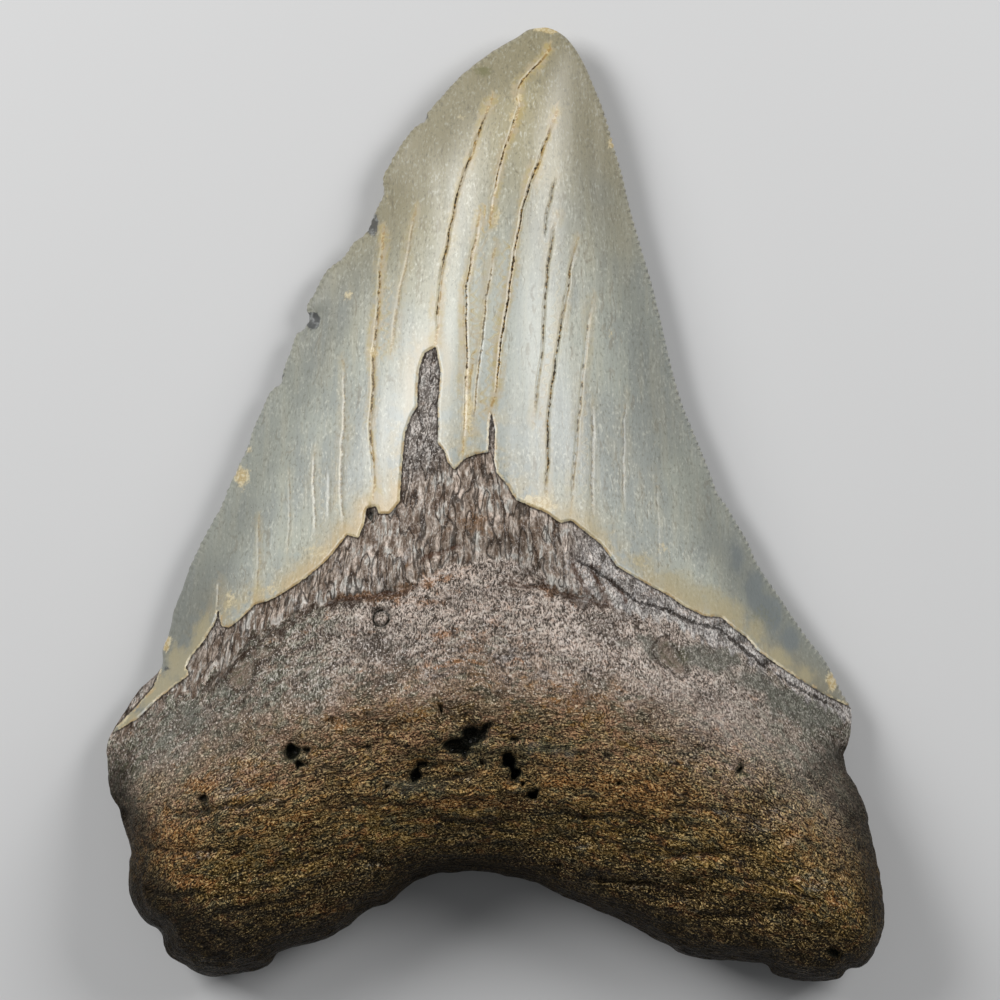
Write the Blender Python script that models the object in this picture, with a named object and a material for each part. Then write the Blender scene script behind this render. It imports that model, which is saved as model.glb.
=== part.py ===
"""A fossil megalodon tooth: serrated triangular crown, dark collar and two-lobed root, all one solid.

The tooth lies on its flat outer face. The crown's tip points to +Y, the domed inner face looks up (+Z), and the
origin is under the middle of the tooth on the surface that it lies on.

The outline is drawn by hand in drawing steps: x to the right, y down from above the tip. TOOTH_HEIGHT gives the
steps their real size. Inside the functions lengths are in millimetres. The mesh is in metres.
"""
import bpy
import numpy as np
from mathutils import Vector, noise
from mathutils.geometry import delaunay_2d_cdt

# --- driving dimensions, in metres -------------------------------------------------------------------
TOOTH_HEIGHT = 0.1216          # tip of the crown to the end of the lower root lobe
CROWN_SLOPE = 1.12             # rise of the crown's dome for each millimetre of soft distance
CUTTING_EDGE_HEIGHT = 0.0028   # height of the cutting edges above the surface
ROOT_EDGE_HEIGHT = 0.0068      # height of the widest line round the root's thick sides
ROOT_BULGE = 0.00435           # rise of the root's dome, times the root of the soft distance in mm
ROOT_UNDERSIDE = 0.0058        # depth of the root's underside below its widest line
CROWN_UNDERSIDE = 0.0022       # depth of the crown's underside below the cutting edges
REST_WEAR = 0.0007             # how far the three worn resting spots would stand out if they weren't flat
ENAMEL = 0.00040               # step from the enamel down to the collar

# --- mesh fineness, in millimetres -------------------------------------------------------------------
OUTLINE_SPACING = 1.35
ROOT_SPACING = 1.75
CROWN_SPACING = 3.0
UNDERSIDE_SPACING = 3.6
RIM_ROWS = 3
CROWN_RIM = 0.8                # width of the strip beside a cutting edge
ROOT_RIM = 1.6                 # width of the strip beside the root's outline
FEATURE_SPACING = 1.1

MM = 0.001
DRAWN_TOP = 27                 # drawing row of the tip
DRAWN_BOTTOM = 981             # drawing row of the lower lobe's end
DRAWN_MIDDLE = 495             # drawing column of the middle
STEP = TOOTH_HEIGHT / MM / (DRAWN_BOTTOM - DRAWN_TOP)

# --- the outline, clockwise from the tip, in drawing steps --------------------------------------------
RIGHT_EDGE = [
    (549, 27), (563, 34), (574, 46), (584, 63), (593, 84), (603, 109), (612, 140), (622, 174), (628, 200),
    (639, 240), (651, 280), (661, 320), (670, 360), (681, 400), (697, 440), (713, 480), (718, 494), (727, 506),
    (735, 520), (747, 540), (756, 561), (768, 580), (782, 600), (795, 620), (809, 640), (825, 660), (836, 680)]
RIGHT_LOBE = [
    (842, 693), (851, 708), (852, 724), (849, 744), (844, 755), (849, 775), (858, 790), (866, 809), (870, 830),
    (879, 873), (884, 916), (880, 937), (873, 953), (862, 965), (847, 968), (840, 978), (820, 981), (790, 978),
    (772, 973), (766, 964), (742, 961), (716, 959), (689, 955), (667, 945)]
ARCH = [
    (630, 924), (587, 905), (560, 894), (534, 882), (507, 875), (480, 871), (456, 871), (430, 874), (409, 884),
    (391, 900), (367, 910), (346, 926), (325, 939), (304, 944)]
LEFT_LOBE = [
    (278, 952), (268, 965), (243, 972), (219, 976), (201, 974), (186, 964), (171, 956), (165, 945), (161, 930),
    (148, 923), (137, 910), (129, 889), (129, 863), (131, 848), (124, 826), (119, 809), (111, 795), (107, 770),
    (106, 745), (112, 730)]
LEFT_EDGE = [
    (121, 716), (129, 703), (138, 690), (154, 675), (161, 665), (161, 650), (168, 632), (173, 610), (181, 589),
    (190, 564), (200, 543), (209, 526), (219, 509), (227, 489), (240, 461), (246, 448), (253, 427), (263, 405),
    (272, 388), (280, 383), (282, 371), (290, 349), (296, 333), (303, 328), (309, 317), (306, 306), (313, 293),
    (322, 276), (330, 266), (342, 257), (353, 242), (367, 230), (372, 217), (379, 202), (384, 190), (382, 180),
    (385, 171), (403, 140), (416, 125), (425, 119), (427, 112), (438, 99), (457, 78), (477, 61), (496, 48),
    (515, 37), (530, 28)]

# --- lines on the upper face, in drawing steps --------------------------------------------------------
# The enamel's lower border, left to right, with the bare tongue that runs up between two cracks.
ENAMEL_BORDER = [
    (100, 742), (138, 718), (176, 684), (190, 674), (188, 660), (203, 642), (217, 612), (226, 627), (257, 603),
    (291, 588), (322, 565), (350, 535), (366, 520), (391, 513), (402, 490), (405, 440), (418, 400), (420, 369),
    (434, 348), (441, 372), (438, 420), (447, 460), (457, 469), (477, 454), (491, 455), (497, 472), (515, 499),
    (545, 512), (584, 531), (607, 553), (630, 574), (665, 593), (703, 615), (732, 627), (757, 650), (793, 675),
    (826, 695), (860, 706)]
# The same border without its tongue: crown on one side, root on the other.
COLLAR = [
    (60, 760), (112, 730), (190, 676), (257, 612), (333, 560), (402, 505), (450, 474), (490, 462), (530, 490),
    (607, 553), (684, 604), (757, 650), (836, 702), (900, 730)]
# The ledge where the collar's ribs end and the plain root begins.
COLLAR_LEDGE = [
    (196, 692), (232, 660), (268, 630), (325, 601), (377, 594), (415, 583), (455, 566), (500, 560), (540, 572),
    (563, 594), (596, 597), (634, 606), (690, 632), (740, 655), (790, 688), (838, 708)]
CRACKS = [
    [(549, 52), (524, 80), (513, 124), (503, 159), (496, 190), (490, 226)],
    [(492, 99), (476, 140), (458, 192), (444, 261), (438, 310), (436, 346)],
    [(555, 115), (538, 161), (524, 203), (515, 247), (507, 307), (498, 374), (492, 440)],
    [(578, 241), (566, 294), (557, 346), (547, 422), (547, 457), (544, 504)],
    [(592, 298), (582, 372), (574, 455), (570, 512)],
    [(385, 230), (381, 253), (377, 326), (373, 380), (372, 440), (374, 500)]]
CRACK_WIDTH = 0.9              # mm
CRACK_DEPTH = 0.28             # mm

# Hollows: drawing column and row, half width and half height in steps, depth in mm.
HOLLOWS = [
    (465, 736, 23, 17, 3.6), (417, 768, 9, 8, 2.2), (389, 781, 8, 6, 1.2), (511, 760, 9, 13, 3.2),
    (532, 789, 8, 7, 2.4), (513, 735, 7, 6, 1.3), (301, 751, 12, 10, 2.2), (207, 792, 8, 11, 1.6),
    (736, 766, 8, 8, 1.8), (618, 778, 7, 6, 1.1), (584, 814, 7, 6, 1.0), (441, 704, 6, 6, 1.0),
    (830, 949, 9, 8, 1.4), (371, 744, 7, 6, 0.9), (372, 516, 9, 8, 0.9), (383, 616, 10, 9, 0.5),
    (246, 671, 15, 15, 0.9), (668, 653, 18, 20, 0.9), (560, 830, 60, 16, 0.8), (330, 640, 40, 14, 0.5),
    (120, 808, 14, 12, 1.3), (846, 755, 14, 10, 1.2), (268, 860, 50, 15, 0.6), (760, 905, 50, 14, 0.7)]
# Swellings: drawing column and row, half width and half height in steps, rise in mm.
SWELLINGS = [
    (480, 700, 190, 60, 1.5), (470, 785, 50, 14, 0.9), (380, 800, 60, 13, 0.7), (690, 790, 110, 40, 1.0),
    (230, 800, 90, 50, 0.9), (660, 865, 90, 13, 0.8), (210, 905, 60, 30, 0.9), (810, 900, 50, 30, 0.8),
    (300, 700, 90, 30, 0.5), (640, 700, 110, 30, 0.5), (740, 830, 60, 12, 0.6), (790, 760, 50, 26, 0.7)]
# Worn spots on the underside that carry the tooth: drawing column and row, radius in steps.
REST_SPOTS = [(215, 875, 95), (770, 880, 95), (500, 430, 110)]


def drawn(points):
    """Drawing steps to millimetres in the tooth's own frame."""
    steps = np.array(points, float)
    middle = (DRAWN_TOP + DRAWN_BOTTOM) / 2
    return np.column_stack([steps[:, 0] - DRAWN_MIDDLE, middle - steps[:, 1]]) * STEP


def closed_spline(points, samples=8):
    """A smooth closed curve through the points, whose tangents suit close points and far ones alike."""
    p0, p1, p2, p3 = (np.roll(points, turn, axis=0)[:, None] for turn in (1, 0, -1, -2))

    def knot(a, b):
        return np.sqrt(np.linalg.norm(b - a, axis=2, keepdims=True))

    t1 = knot(p0, p1)
    t2 = t1 + knot(p1, p2)
    t3 = t2 + knot(p2, p3)
    t = t1 + (t2 - t1) * (np.arange(samples) / samples)[None, :, None]
    a1 = ((t1 - t) * p0 + t * p1) / t1
    a2 = ((t2 - t) * p1 + (t - t1) * p2) / (t2 - t1)
    a3 = ((t3 - t) * p2 + (t - t2) * p3) / (t3 - t2)
    b1 = ((t2 - t) * a1 + t * a2) / t2
    b2 = ((t3 - t) * a2 + (t - t1) * a3) / (t3 - t1)
    return (((t2 - t) * b1 + (t - t1) * b2) / (t2 - t1)).reshape(-1, 2)


def evenly(points, spacing, closed=False):
    """The same line with its points evenly spaced along it."""
    line = np.vstack([points, points[:1]]) if closed else np.asarray(points)
    length = np.concatenate([[0], np.cumsum(np.linalg.norm(np.diff(line, axis=0), axis=1))])
    count = max(2, round(length[-1] / spacing))
    places = np.linspace(0, length[-1], count, endpoint=not closed)
    return np.column_stack([np.interp(places, length, line[:, axis]) for axis in (0, 1)])


def softened(ring, reach, spacing):
    """A closed line with everything smaller than reach smoothed away."""
    index = np.arange(len(ring))
    away = np.minimum(index, len(ring) - index) * spacing
    weight = np.exp(-(away / reach) ** 2 / 2)
    blur = np.fft.rfft(weight / weight.sum())
    return np.column_stack([np.fft.irfft(np.fft.rfft(ring[:, axis]) * blur, len(ring)) for axis in (0, 1)])


def outward(ring):
    """Unit vectors that point out of a clockwise closed line."""
    along = np.roll(ring, -1, axis=0) - np.roll(ring, 1, axis=0)
    along /= np.linalg.norm(along, axis=1)[:, None]
    return np.column_stack([-along[:, 1], along[:, 0]])


def smooth(value):
    """0 below 0, 1 above 1, and an S curve between."""
    value = np.clip(value, 0, 1)
    return value * value * (3 - 2 * value)


def distance_to(points, line):
    """Distance from each point to the nearest point of a finely divided line."""
    return np.array([np.sqrt(((line - point) ** 2).sum(axis=1).min()) for point in points])


def soft_distance(points, ring):
    """A smooth dome over a closed line: near it, the distance to it, and farther in, a parabola's rise."""
    pieces = np.linalg.norm(np.roll(ring, -1, axis=0) - ring, axis=1)
    return np.array([np.pi / (pieces / ((ring - point) ** 2).sum(axis=1)).sum() for point in points])


def is_inside(points, ring):
    """Whether each point is inside a closed line, by counting the sides that it crosses."""
    start, end = ring, np.roll(ring, -1, axis=0)
    x, y = points[:, 0, None], points[:, 1, None]
    spans = (start[:, 1] > y) != (end[:, 1] > y)
    rise = np.where(end[:, 1] == start[:, 1], 1, end[:, 1] - start[:, 1])
    crossing = start[:, 0] + (y - start[:, 1]) * (end[:, 0] - start[:, 0]) / rise
    return (spans & (x < crossing)).sum(axis=1) % 2 == 1


def above_line(points, line):
    """Distance above a left-to-right line, measured square to its usual slope."""
    usual_slope_cosine = 0.82
    return (points[:, 1] - np.interp(points[:, 0], line[:, 0], line[:, 1])) * usual_slope_cosine


def bumps(points, table, power=1):
    """Sum of soft round bumps. Each row of the table holds a place, two half sizes and a height."""
    total = np.zeros(len(points))
    for column, row, half_width, half_height, height in table:
        centre = drawn([(column, row)])[0]
        reach = ((points - centre) / (np.array([half_width, half_height]) * STEP)) ** 2
        total += height * np.exp(-reach.sum(axis=1) ** power)
    return total


def wander(points, size, level):
    """Smooth noise between about -1 and 1 with features of the given size in mm."""
    return np.array([noise.noise(Vector((x / size, y / size, level))) for x, y in points])


FINE = 0.3                     # mm between the points of the lines that distances are measured to
CURVE = closed_spline(drawn(RIGHT_EDGE + RIGHT_LOBE + ARCH + LEFT_LOBE + LEFT_EDGE))
OUTLINE = evenly(CURVE, OUTLINE_SPACING, closed=True)
# The outline as it was before chips and wear, a little outside the real one.
WHOLE_OUTLINE = softened(evenly(CURVE, FINE, closed=True), 1.8, FINE)
WHOLE_OUTLINE = WHOLE_OUTLINE + outward(WHOLE_OUTLINE) * 0.75
BORDER = drawn(ENAMEL_BORDER)
ENAMEL_LOOP = np.vstack([BORDER, [(90, -20), (60, 90), (-60, 90), (-90, -20)]])
COLLAR_LINE = drawn(COLLAR)
LEDGE_LINE = evenly(drawn(COLLAR_LEDGE), FINE)
CRACK_LINES = [evenly(drawn(crack), FEATURE_SPACING) for crack in CRACKS]


def rootness(points, reach=9, early=0.35):
    """0 on the crown, 1 on the root, and a smooth change over the given reach across the collar."""
    return smooth(early - above_line(points, COLLAR_LINE) / reach)


def edge_height(points):
    """Height of the tooth's widest line: low along the cutting edges, higher round the thick root."""
    crown = CUTTING_EDGE_HEIGHT / MM + 1.4 * smooth((points[:, 1] - 25) / 40)
    root = ROOT_EDGE_HEIGHT / MM
    return crown + (root - crown) * rootness(points, reach=30, early=0.25)


def rounding(points, distance):
    """0 at the outline and 1 inside it: a quarter circle that is small on the crown and large on the root."""
    radius = 0.5 + 2.3 * rootness(points)
    return np.sqrt(1 - (1 - np.minimum(distance / radius, 1)) ** 2)


def upper_height(points, distance):
    """The inner face: a lens-shaped crown and a swollen root, with its ledges, cracks, pits and folds."""
    dome = soft_distance(points, WHOLE_OUTLINE)
    root_part = rootness(points, reach=30, early=0.2)
    crown = CROWN_SLOPE * dome * (dome + 1.5) / (dome + 3.2)
    root = ROOT_BULGE / MM * np.sqrt(dome)
    rise = crown + (root - crown) * root_part
    bare = ~is_inside(points, ENAMEL_LOOP)
    detail = -ENAMEL / MM * bare
    ledge = distance_to(points, LEDGE_LINE)
    detail -= 0.45 * np.exp(-(ledge / 1.0) ** 2)
    enamel_only = np.where(bare, 0.0, 1.0)
    for line in CRACK_LINES:
        detail -= CRACK_DEPTH * enamel_only * smooth(1 - distance_to(points, evenly(line, FINE)) / CRACK_WIDTH)
    plain_root = smooth(-above_line(points, COLLAR_LINE) / 12)
    folds = wander(points * np.array([0.35, 1.0]), 3.2, 4.0) + 0.6 * wander(points, 6.0, 9.0)
    detail += plain_root * 0.55 * folds
    detail += bumps(points, SWELLINGS) - bumps(points, HOLLOWS, power=1.6)
    height = edge_height(points)
    return height + (rise + detail) * rounding(points, distance)


def lower_height(points, distance):
    """The outer face: nearly flat, with three worn spots at height 0 that the tooth lies on."""
    dome = soft_distance(points, WHOLE_OUTLINE)
    crown = CROWN_UNDERSIDE / MM * np.tanh(dome / 9)
    root = ROOT_UNDERSIDE / MM * np.tanh(dome / 2.4)
    drop = crown + (root - crown) * rootness(points, reach=30, early=0.25)
    drop += 0.25 * wander(points, 9.0, 30.0) * rootness(points)
    edge = edge_height(points)
    height = edge - drop * rounding(points, distance)
    for column, row, radius in REST_SPOTS:
        centre = drawn([(column, row)])[0]
        reach = np.linalg.norm(points - centre, axis=1) / (radius * STEP)
        spot = smooth((1.6 - reach) / 0.7) * rounding(points, distance)
        height += spot * (-REST_WEAR / MM - height)
    return np.maximum(height, 0)


def lattice(spacing, keep):
    """Points of a triangular lattice over the whole tooth where keep says so."""
    rows = np.arange(-64, 64, spacing * np.sqrt(3) / 2)
    columns = np.arange(-54, 54, spacing)
    points = np.array([(x + spacing / 2 * (index % 2), y) for index, y in enumerate(rows) for x in columns])
    return points[keep(points)]


def feature_points():
    """Extra points where the upper face bends sharply: along cracks, the enamel's border and round pits."""
    groups = []
    for line in CRACK_LINES:
        across = outward(line)
        across[0], across[-1] = across[1], across[-2]
        groups += [line, line + across * CRACK_WIDTH * 0.8, line - across * CRACK_WIDTH * 0.8]
    border = evenly(BORDER, FEATURE_SPACING)
    across = outward(border)
    across[0], across[-1] = across[1], across[-2]
    groups += [border + across * 0.25, border - across * 0.25]
    for column, row, half_width, half_height, depth in HOLLOWS[:15]:
        angles = np.linspace(0, 2 * np.pi, 8, endpoint=False)
        circle = np.column_stack([np.cos(angles), np.sin(angles)]) * np.array([half_width, half_height]) * STEP
        centre = drawn([(column, row)])[0]
        groups += [centre[None], centre + circle * 0.55, centre + circle * 1.15]
    return np.vstack(groups)


def spread_out(points, taken, gap):
    """The points that keep a gap to each other and to those already taken."""
    kept = list(taken)
    for point in points:
        if ((np.array(kept) - point) ** 2).sum(axis=1).min() >= gap * gap:
            kept.append(point)
    return np.array(kept[len(taken):])


def face_points(upper, rim):
    """Points inside one face's rim: features first, then a lattice that fills what is left."""
    features = spread_out(feature_points(), rim, 0.45) if upper else np.empty((0, 2))
    features = features[is_inside(features, rim)] if len(features) else features
    taken = np.vstack([rim, features])
    fillers = []
    for on_root in (True, False):
        spacing = (ROOT_SPACING if on_root else CROWN_SPACING) if upper else UNDERSIDE_SPACING

        def keep(points):
            right_zone = (above_line(points, COLLAR_LINE) < 2.0) == on_root
            return right_zone & is_inside(points, rim)

        points = lattice(spacing, keep)
        fillers.append(points[distance_to(points, taken) > spacing * 0.6])
    return np.vstack([features] + fillers)


def face(upper):
    """One face of the tooth: rows from the outline in to a rim, then triangles inside the rim."""
    count = len(OUTLINE)
    inward = -outward(softened(OUTLINE, 2.0, OUTLINE_SPACING))
    width = CROWN_RIM + (ROOT_RIM - CROWN_RIM) * rootness(OUTLINE)
    rows = []
    for row in range(1, RIM_ROWS + 1):
        share = 1 - np.cos(np.pi / 2 * row / RIM_ROWS)
        rows.append(OUTLINE + inward * (width * share)[:, None])
    rim = rows[-1]
    inner = face_points(upper, rim)
    triangulated = delaunay_2d_cdt([Vector(point) for point in np.vstack([rim, inner])], [],
                                   [list(range(count))], 1, 1e-5)
    made, faces, source = triangulated[0], triangulated[2], triangulated[3]
    if any(len(origin) != 1 for origin in source):
        raise RuntimeError("the rim crosses itself")
    origin = [item[0] for item in source]
    flat = np.vstack([OUTLINE] + rows + [inner])
    distance = distance_to(flat, OUTLINE)
    height = (upper_height if upper else lower_height)(flat, distance)
    height[:count] = edge_height(OUTLINE)
    first_inner = count * RIM_ROWS
    polygons = []
    for row in range(RIM_ROWS):
        for index in range(count):
            after = (index + 1) % count
            a, b = row * count + index, row * count + after
            polygons.append((a, a + count, b + count, b))
    for triangle in faces:
        corners = [np.array(made[corner]) for corner in triangle]
        turn = np.cross(corners[1] - corners[0], corners[2] - corners[0])
        ordered = [origin[corner] + first_inner for corner in (triangle if turn > 0 else triangle[::-1])]
        polygons.append(tuple(ordered))
    if not upper:
        polygons = [polygon[::-1] for polygon in polygons]
    return np.column_stack([flat, height]), polygons


def join_faces():
    """Both faces sewn together along the outline."""
    upper, upper_polygons = face(True)
    lower, lower_polygons = face(False)
    count = len(OUTLINE)
    shift = len(upper) - count
    points = np.vstack([upper, lower[count:]])
    moved = [tuple(corner if corner < count else corner + shift for corner in polygon)
             for polygon in lower_polygons]
    points[:, :2] -= (points[:, :2].max(axis=0) + points[:, :2].min(axis=0)) / 2
    return points, upper_polygons + moved


def fossil_material():
    """Satin fossil stone, one finish for the whole tooth."""
    material = bpy.data.materials.new("fossil tooth")
    material.use_nodes = True
    shader = material.node_tree.nodes["Principled BSDF"]
    shader.inputs["Base Color"].default_value = (0.27, 0.24, 0.20, 1)
    shader.inputs["Roughness"].default_value = 0.5
    shader.inputs["Metallic"].default_value = 0.0
    return material


def build():
    for old in list(bpy.data.objects):
        bpy.data.objects.remove(old, do_unlink=True)
    points, polygons = join_faces()
    mesh = bpy.data.meshes.new("tooth")
    mesh.from_pydata((points * MM).tolist(), [], polygons)
    mesh.validate()
    mesh.materials.append(fossil_material())
    tooth = bpy.data.objects.new("tooth", mesh)
    bpy.context.collection.objects.link(tooth)
    mesh.shade_smooth()
    print("tooth:", len(mesh.vertices), "vertices,", sum(len(p) - 2 for p in polygons), "triangles")


build()
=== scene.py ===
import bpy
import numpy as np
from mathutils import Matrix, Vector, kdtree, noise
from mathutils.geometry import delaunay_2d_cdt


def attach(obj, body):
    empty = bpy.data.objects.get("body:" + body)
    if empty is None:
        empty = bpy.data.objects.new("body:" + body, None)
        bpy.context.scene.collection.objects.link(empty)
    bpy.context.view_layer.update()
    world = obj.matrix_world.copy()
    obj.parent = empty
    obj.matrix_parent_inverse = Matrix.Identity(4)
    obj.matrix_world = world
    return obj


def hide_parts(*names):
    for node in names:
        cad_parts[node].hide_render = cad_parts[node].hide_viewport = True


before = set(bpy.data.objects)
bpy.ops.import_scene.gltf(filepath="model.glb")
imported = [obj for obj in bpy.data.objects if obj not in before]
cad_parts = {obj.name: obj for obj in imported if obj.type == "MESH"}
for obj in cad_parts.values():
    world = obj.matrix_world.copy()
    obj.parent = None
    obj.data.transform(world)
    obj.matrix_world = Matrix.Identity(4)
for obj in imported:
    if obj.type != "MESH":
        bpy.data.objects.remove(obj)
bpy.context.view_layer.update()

# %% [markdown]
# # A fossil megalodon tooth
#
# The real thing is one piece: a crown covered in hard, glossy enamel, a dark ribbed collar below it, and a dull,
# bony root with two lobes. So this scene makes one closed mesh. It lies on its flat outer face, its tip points to
# +Y and its domed inner face looks up. A tooth like this could be sculpted by hand, or scanned from a real one.
# Here it is worked out from a few drawn lines and some formulas, so that every form stays a named value that can
# be changed.

MM = 0.001                     # metres in a millimetre

# %% [markdown]
# ## Drawing steps
#
# Every line on the tooth is drawn on squared paper seen from above: x counts steps to the right and y counts steps
# down. One driving size, the tooth's height, gives the steps their real length. Everything below is then worked
# out in millimetres, because a tooth's details are easier to read in them, and only the finished mesh is in metres.

# %% The drawing's scale
TOOTH_HEIGHT = 0.1216          # metres, tip of the crown to the end of the lower root lobe
DRAWN_TOP = 27                 # drawing row of the tip
DRAWN_BOTTOM = 981             # drawing row of the lower lobe's end
DRAWN_MIDDLE = 495             # drawing column of the middle
STEP = TOOTH_HEIGHT / MM / (DRAWN_BOTTOM - DRAWN_TOP)


def drawn(points):
    """Drawing steps to millimetres in the tooth's own frame."""
    steps = np.array(points, float)
    middle = (DRAWN_TOP + DRAWN_BOTTOM) / 2
    return np.column_stack([steps[:, 0] - DRAWN_MIDDLE, middle - steps[:, 1]]) * STEP


print("one drawing step is", round(STEP, 4), "mm")

# %% [markdown]
# ## Camera
#
# A tooth that can't stand on its lobes is looked at from straight above. A long lens far away keeps both ends of
# the tooth at the same scale, as in a catalogue picture of a fossil. The camera comes first, so that every later
# step can be judged from the same place.

# %% The camera above the tooth
FRAME_STEPS = 1000             # width of the picture in drawing steps
FRAME_CENTRE = (500, 500)      # drawing place in the middle of the picture
CAMERA_HEIGHT = 0.90           # metres above the plane that the picture's scale holds for
SHARP_HEIGHT = 0.006           # metres, height of that plane

centre_x, centre_y = drawn([FRAME_CENTRE])[0] * MM
camera_data = bpy.data.cameras.new("camera")
camera_data.sensor_width = 36.0
camera_data.lens = camera_data.sensor_width * CAMERA_HEIGHT / (FRAME_STEPS * STEP * MM)
camera = bpy.data.objects.new("camera", camera_data)
camera.location = (centre_x, centre_y, SHARP_HEIGHT + CAMERA_HEIGHT)
bpy.context.collection.objects.link(camera)
bpy.context.scene.camera = camera
bpy.context.scene.view_settings.view_transform = "Standard"
print("lens:", round(camera_data.lens), "mm")

# %% [markdown]
# ## Floor and lights
#
# The floor is a plain pale sheet. The light is that of a small light tent: two large soft lights stand left and
# right of the tip and look across the tooth, and a pale world fills the shadows. On the crown's dome each light
# leaves a broad sheen of its own, with a calmer stripe between them, which is how a domed, glossy thing shows its
# form. Area lights are used because a point light would leave a hard white dot instead.


# %% The floor, the lamps and the world
def soft_light(name, place, aim, size, power, colour=(1, 1, 1)):
    """A rectangular lamp that looks at a point."""
    data = bpy.data.lights.new(name, "AREA")
    data.shape = "RECTANGLE"
    data.size, data.size_y = size
    data.energy = power
    data.color = colour
    lamp = bpy.data.objects.new(name, data)
    lamp.location = place
    lamp.rotation_euler = (Vector(aim) - Vector(place)).to_track_quat("-Z", "Y").to_euler()
    bpy.context.collection.objects.link(lamp)


def plain_material(name, colour, roughness):
    """A material of one colour, for the floor."""
    material = bpy.data.materials.new(name)
    material.use_nodes = True
    shader = material.node_tree.nodes["Principled BSDF"]
    shader.inputs["Base Color"].default_value = (*colour, 1)
    shader.inputs["Roughness"].default_value = roughness
    return material


bpy.ops.mesh.primitive_plane_add(size=3.0, location=(0, 0, 0))
floor = bpy.context.object
floor.name = "floor"
floor.data.materials.append(plain_material("pale floor", (0.62, 0.62, 0.62), 0.7))

LAMP_SIZE = (0.26, 0.30)       # metres
LAMP_AIM = (0, 0.01, 0.01)
soft_light("left light", (-0.40, 0.24, 0.36), LAMP_AIM, LAMP_SIZE, 2.8)
soft_light("right light", (0.40, 0.24, 0.36), LAMP_AIM, LAMP_SIZE, 2.2)
world = bpy.data.worlds.new("pale room")
world.use_nodes = True
world.node_tree.nodes["Background"].inputs["Color"].default_value = (0.90, 0.92, 0.94, 1)
world.node_tree.nodes["Background"].inputs["Strength"].default_value = 0.15
bpy.context.scene.world = world

# %% [markdown]
# ## The outline
#
# Seen from above, the tooth is a leaning triangle on a broad root with an arch under it. The edge is worn: the
# left side has chips and small steps, and the right side is nearly whole. The outline runs clockwise from the tip,
# in the order that a hand would draw it. It holds a point only where the line bends, and a smooth curve joins the
# points, because a straight-sided outline would show as flats on a glossy edge.

# %% The outline's points
RIGHT_EDGE = [
    (549, 27), (563, 34), (574, 46), (584, 63), (593, 84), (603, 109), (612, 140), (622, 174), (628, 200),
    (639, 240), (651, 280), (661, 320), (670, 360), (681, 400), (697, 440), (713, 480), (718, 494), (727, 506),
    (735, 520), (747, 540), (756, 561), (768, 580), (782, 600), (795, 620), (809, 640), (825, 660), (836, 680)]
RIGHT_LOBE = [
    (842, 693), (851, 708), (852, 724), (849, 744), (844, 755), (849, 775), (858, 790), (866, 809), (870, 830),
    (879, 873), (884, 916), (880, 937), (873, 953), (862, 965), (847, 968), (840, 978), (820, 981), (790, 978),
    (772, 973), (766, 964), (742, 961), (716, 959), (689, 955), (667, 945)]
ARCH = [
    (630, 924), (587, 905), (560, 894), (534, 882), (507, 875), (480, 871), (456, 871), (430, 874), (409, 884),
    (391, 900), (367, 910), (346, 926), (325, 939), (304, 944)]
LEFT_LOBE = [
    (278, 952), (268, 965), (243, 972), (219, 976), (201, 974), (186, 964), (171, 956), (165, 945), (161, 930),
    (148, 923), (137, 910), (129, 889), (129, 863), (131, 848), (124, 826), (119, 809), (111, 795), (107, 770),
    (106, 745), (112, 730)]
LEFT_EDGE = [
    (121, 716), (129, 703), (138, 690), (154, 675), (161, 665), (161, 650), (168, 632), (173, 610), (181, 589),
    (190, 564), (200, 543), (209, 526), (219, 509), (227, 489), (240, 461), (246, 448), (253, 427), (263, 405),
    (272, 388), (280, 383), (282, 371), (290, 349), (296, 333), (303, 328), (309, 317), (306, 306), (313, 293),
    (322, 276), (330, 266), (342, 257), (353, 242), (367, 230), (372, 217), (379, 202), (384, 190), (382, 180),
    (385, 171), (403, 140), (416, 125), (425, 119), (427, 112), (438, 99), (457, 78), (477, 61), (496, 48),
    (515, 37), (530, 28)]
outline_points = RIGHT_EDGE + RIGHT_LOBE + ARCH + LEFT_LOBE + LEFT_EDGE
print("outline:", len(outline_points), "points")

# %% [markdown]
# ## Curves through points
#
# The curve through the points is a centripetal Catmull-Rom spline. It passes through every point and doesn't
# overshoot where a chip puts two points close together, which an ordinary one would do. The same cell holds the
# other small tools for lines: even spacing, smoothing, and the directions that point out of a closed line.


# %% Tools for lines
def closed_spline(points, samples=8):
    """A smooth closed curve through the points."""
    p0, p1, p2, p3 = (np.roll(points, turn, axis=0)[:, None] for turn in (1, 0, -1, -2))

    def knot(a, b):
        return np.sqrt(np.linalg.norm(b - a, axis=2, keepdims=True))

    t1 = knot(p0, p1)
    t2 = t1 + knot(p1, p2)
    t3 = t2 + knot(p2, p3)
    t = t1 + (t2 - t1) * (np.arange(samples) / samples)[None, :, None]
    a1 = ((t1 - t) * p0 + t * p1) / t1
    a2 = ((t2 - t) * p1 + (t - t1) * p2) / (t2 - t1)
    a3 = ((t3 - t) * p2 + (t - t2) * p3) / (t3 - t2)
    b1 = ((t2 - t) * a1 + t * a2) / t2
    b2 = ((t3 - t) * a2 + (t - t1) * a3) / (t3 - t1)
    return (((t2 - t) * b1 + (t - t1) * b2) / (t2 - t1)).reshape(-1, 2)


def evenly(points, spacing, closed=False):
    """The same line with its points evenly spaced along it."""
    line = np.vstack([points, points[:1]]) if closed else np.asarray(points)
    length = np.concatenate([[0], np.cumsum(np.linalg.norm(np.diff(line, axis=0), axis=1))])
    count = max(2, round(length[-1] / spacing))
    places = np.linspace(0, length[-1], count, endpoint=not closed)
    return np.column_stack([np.interp(places, length, line[:, axis]) for axis in (0, 1)])


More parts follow.
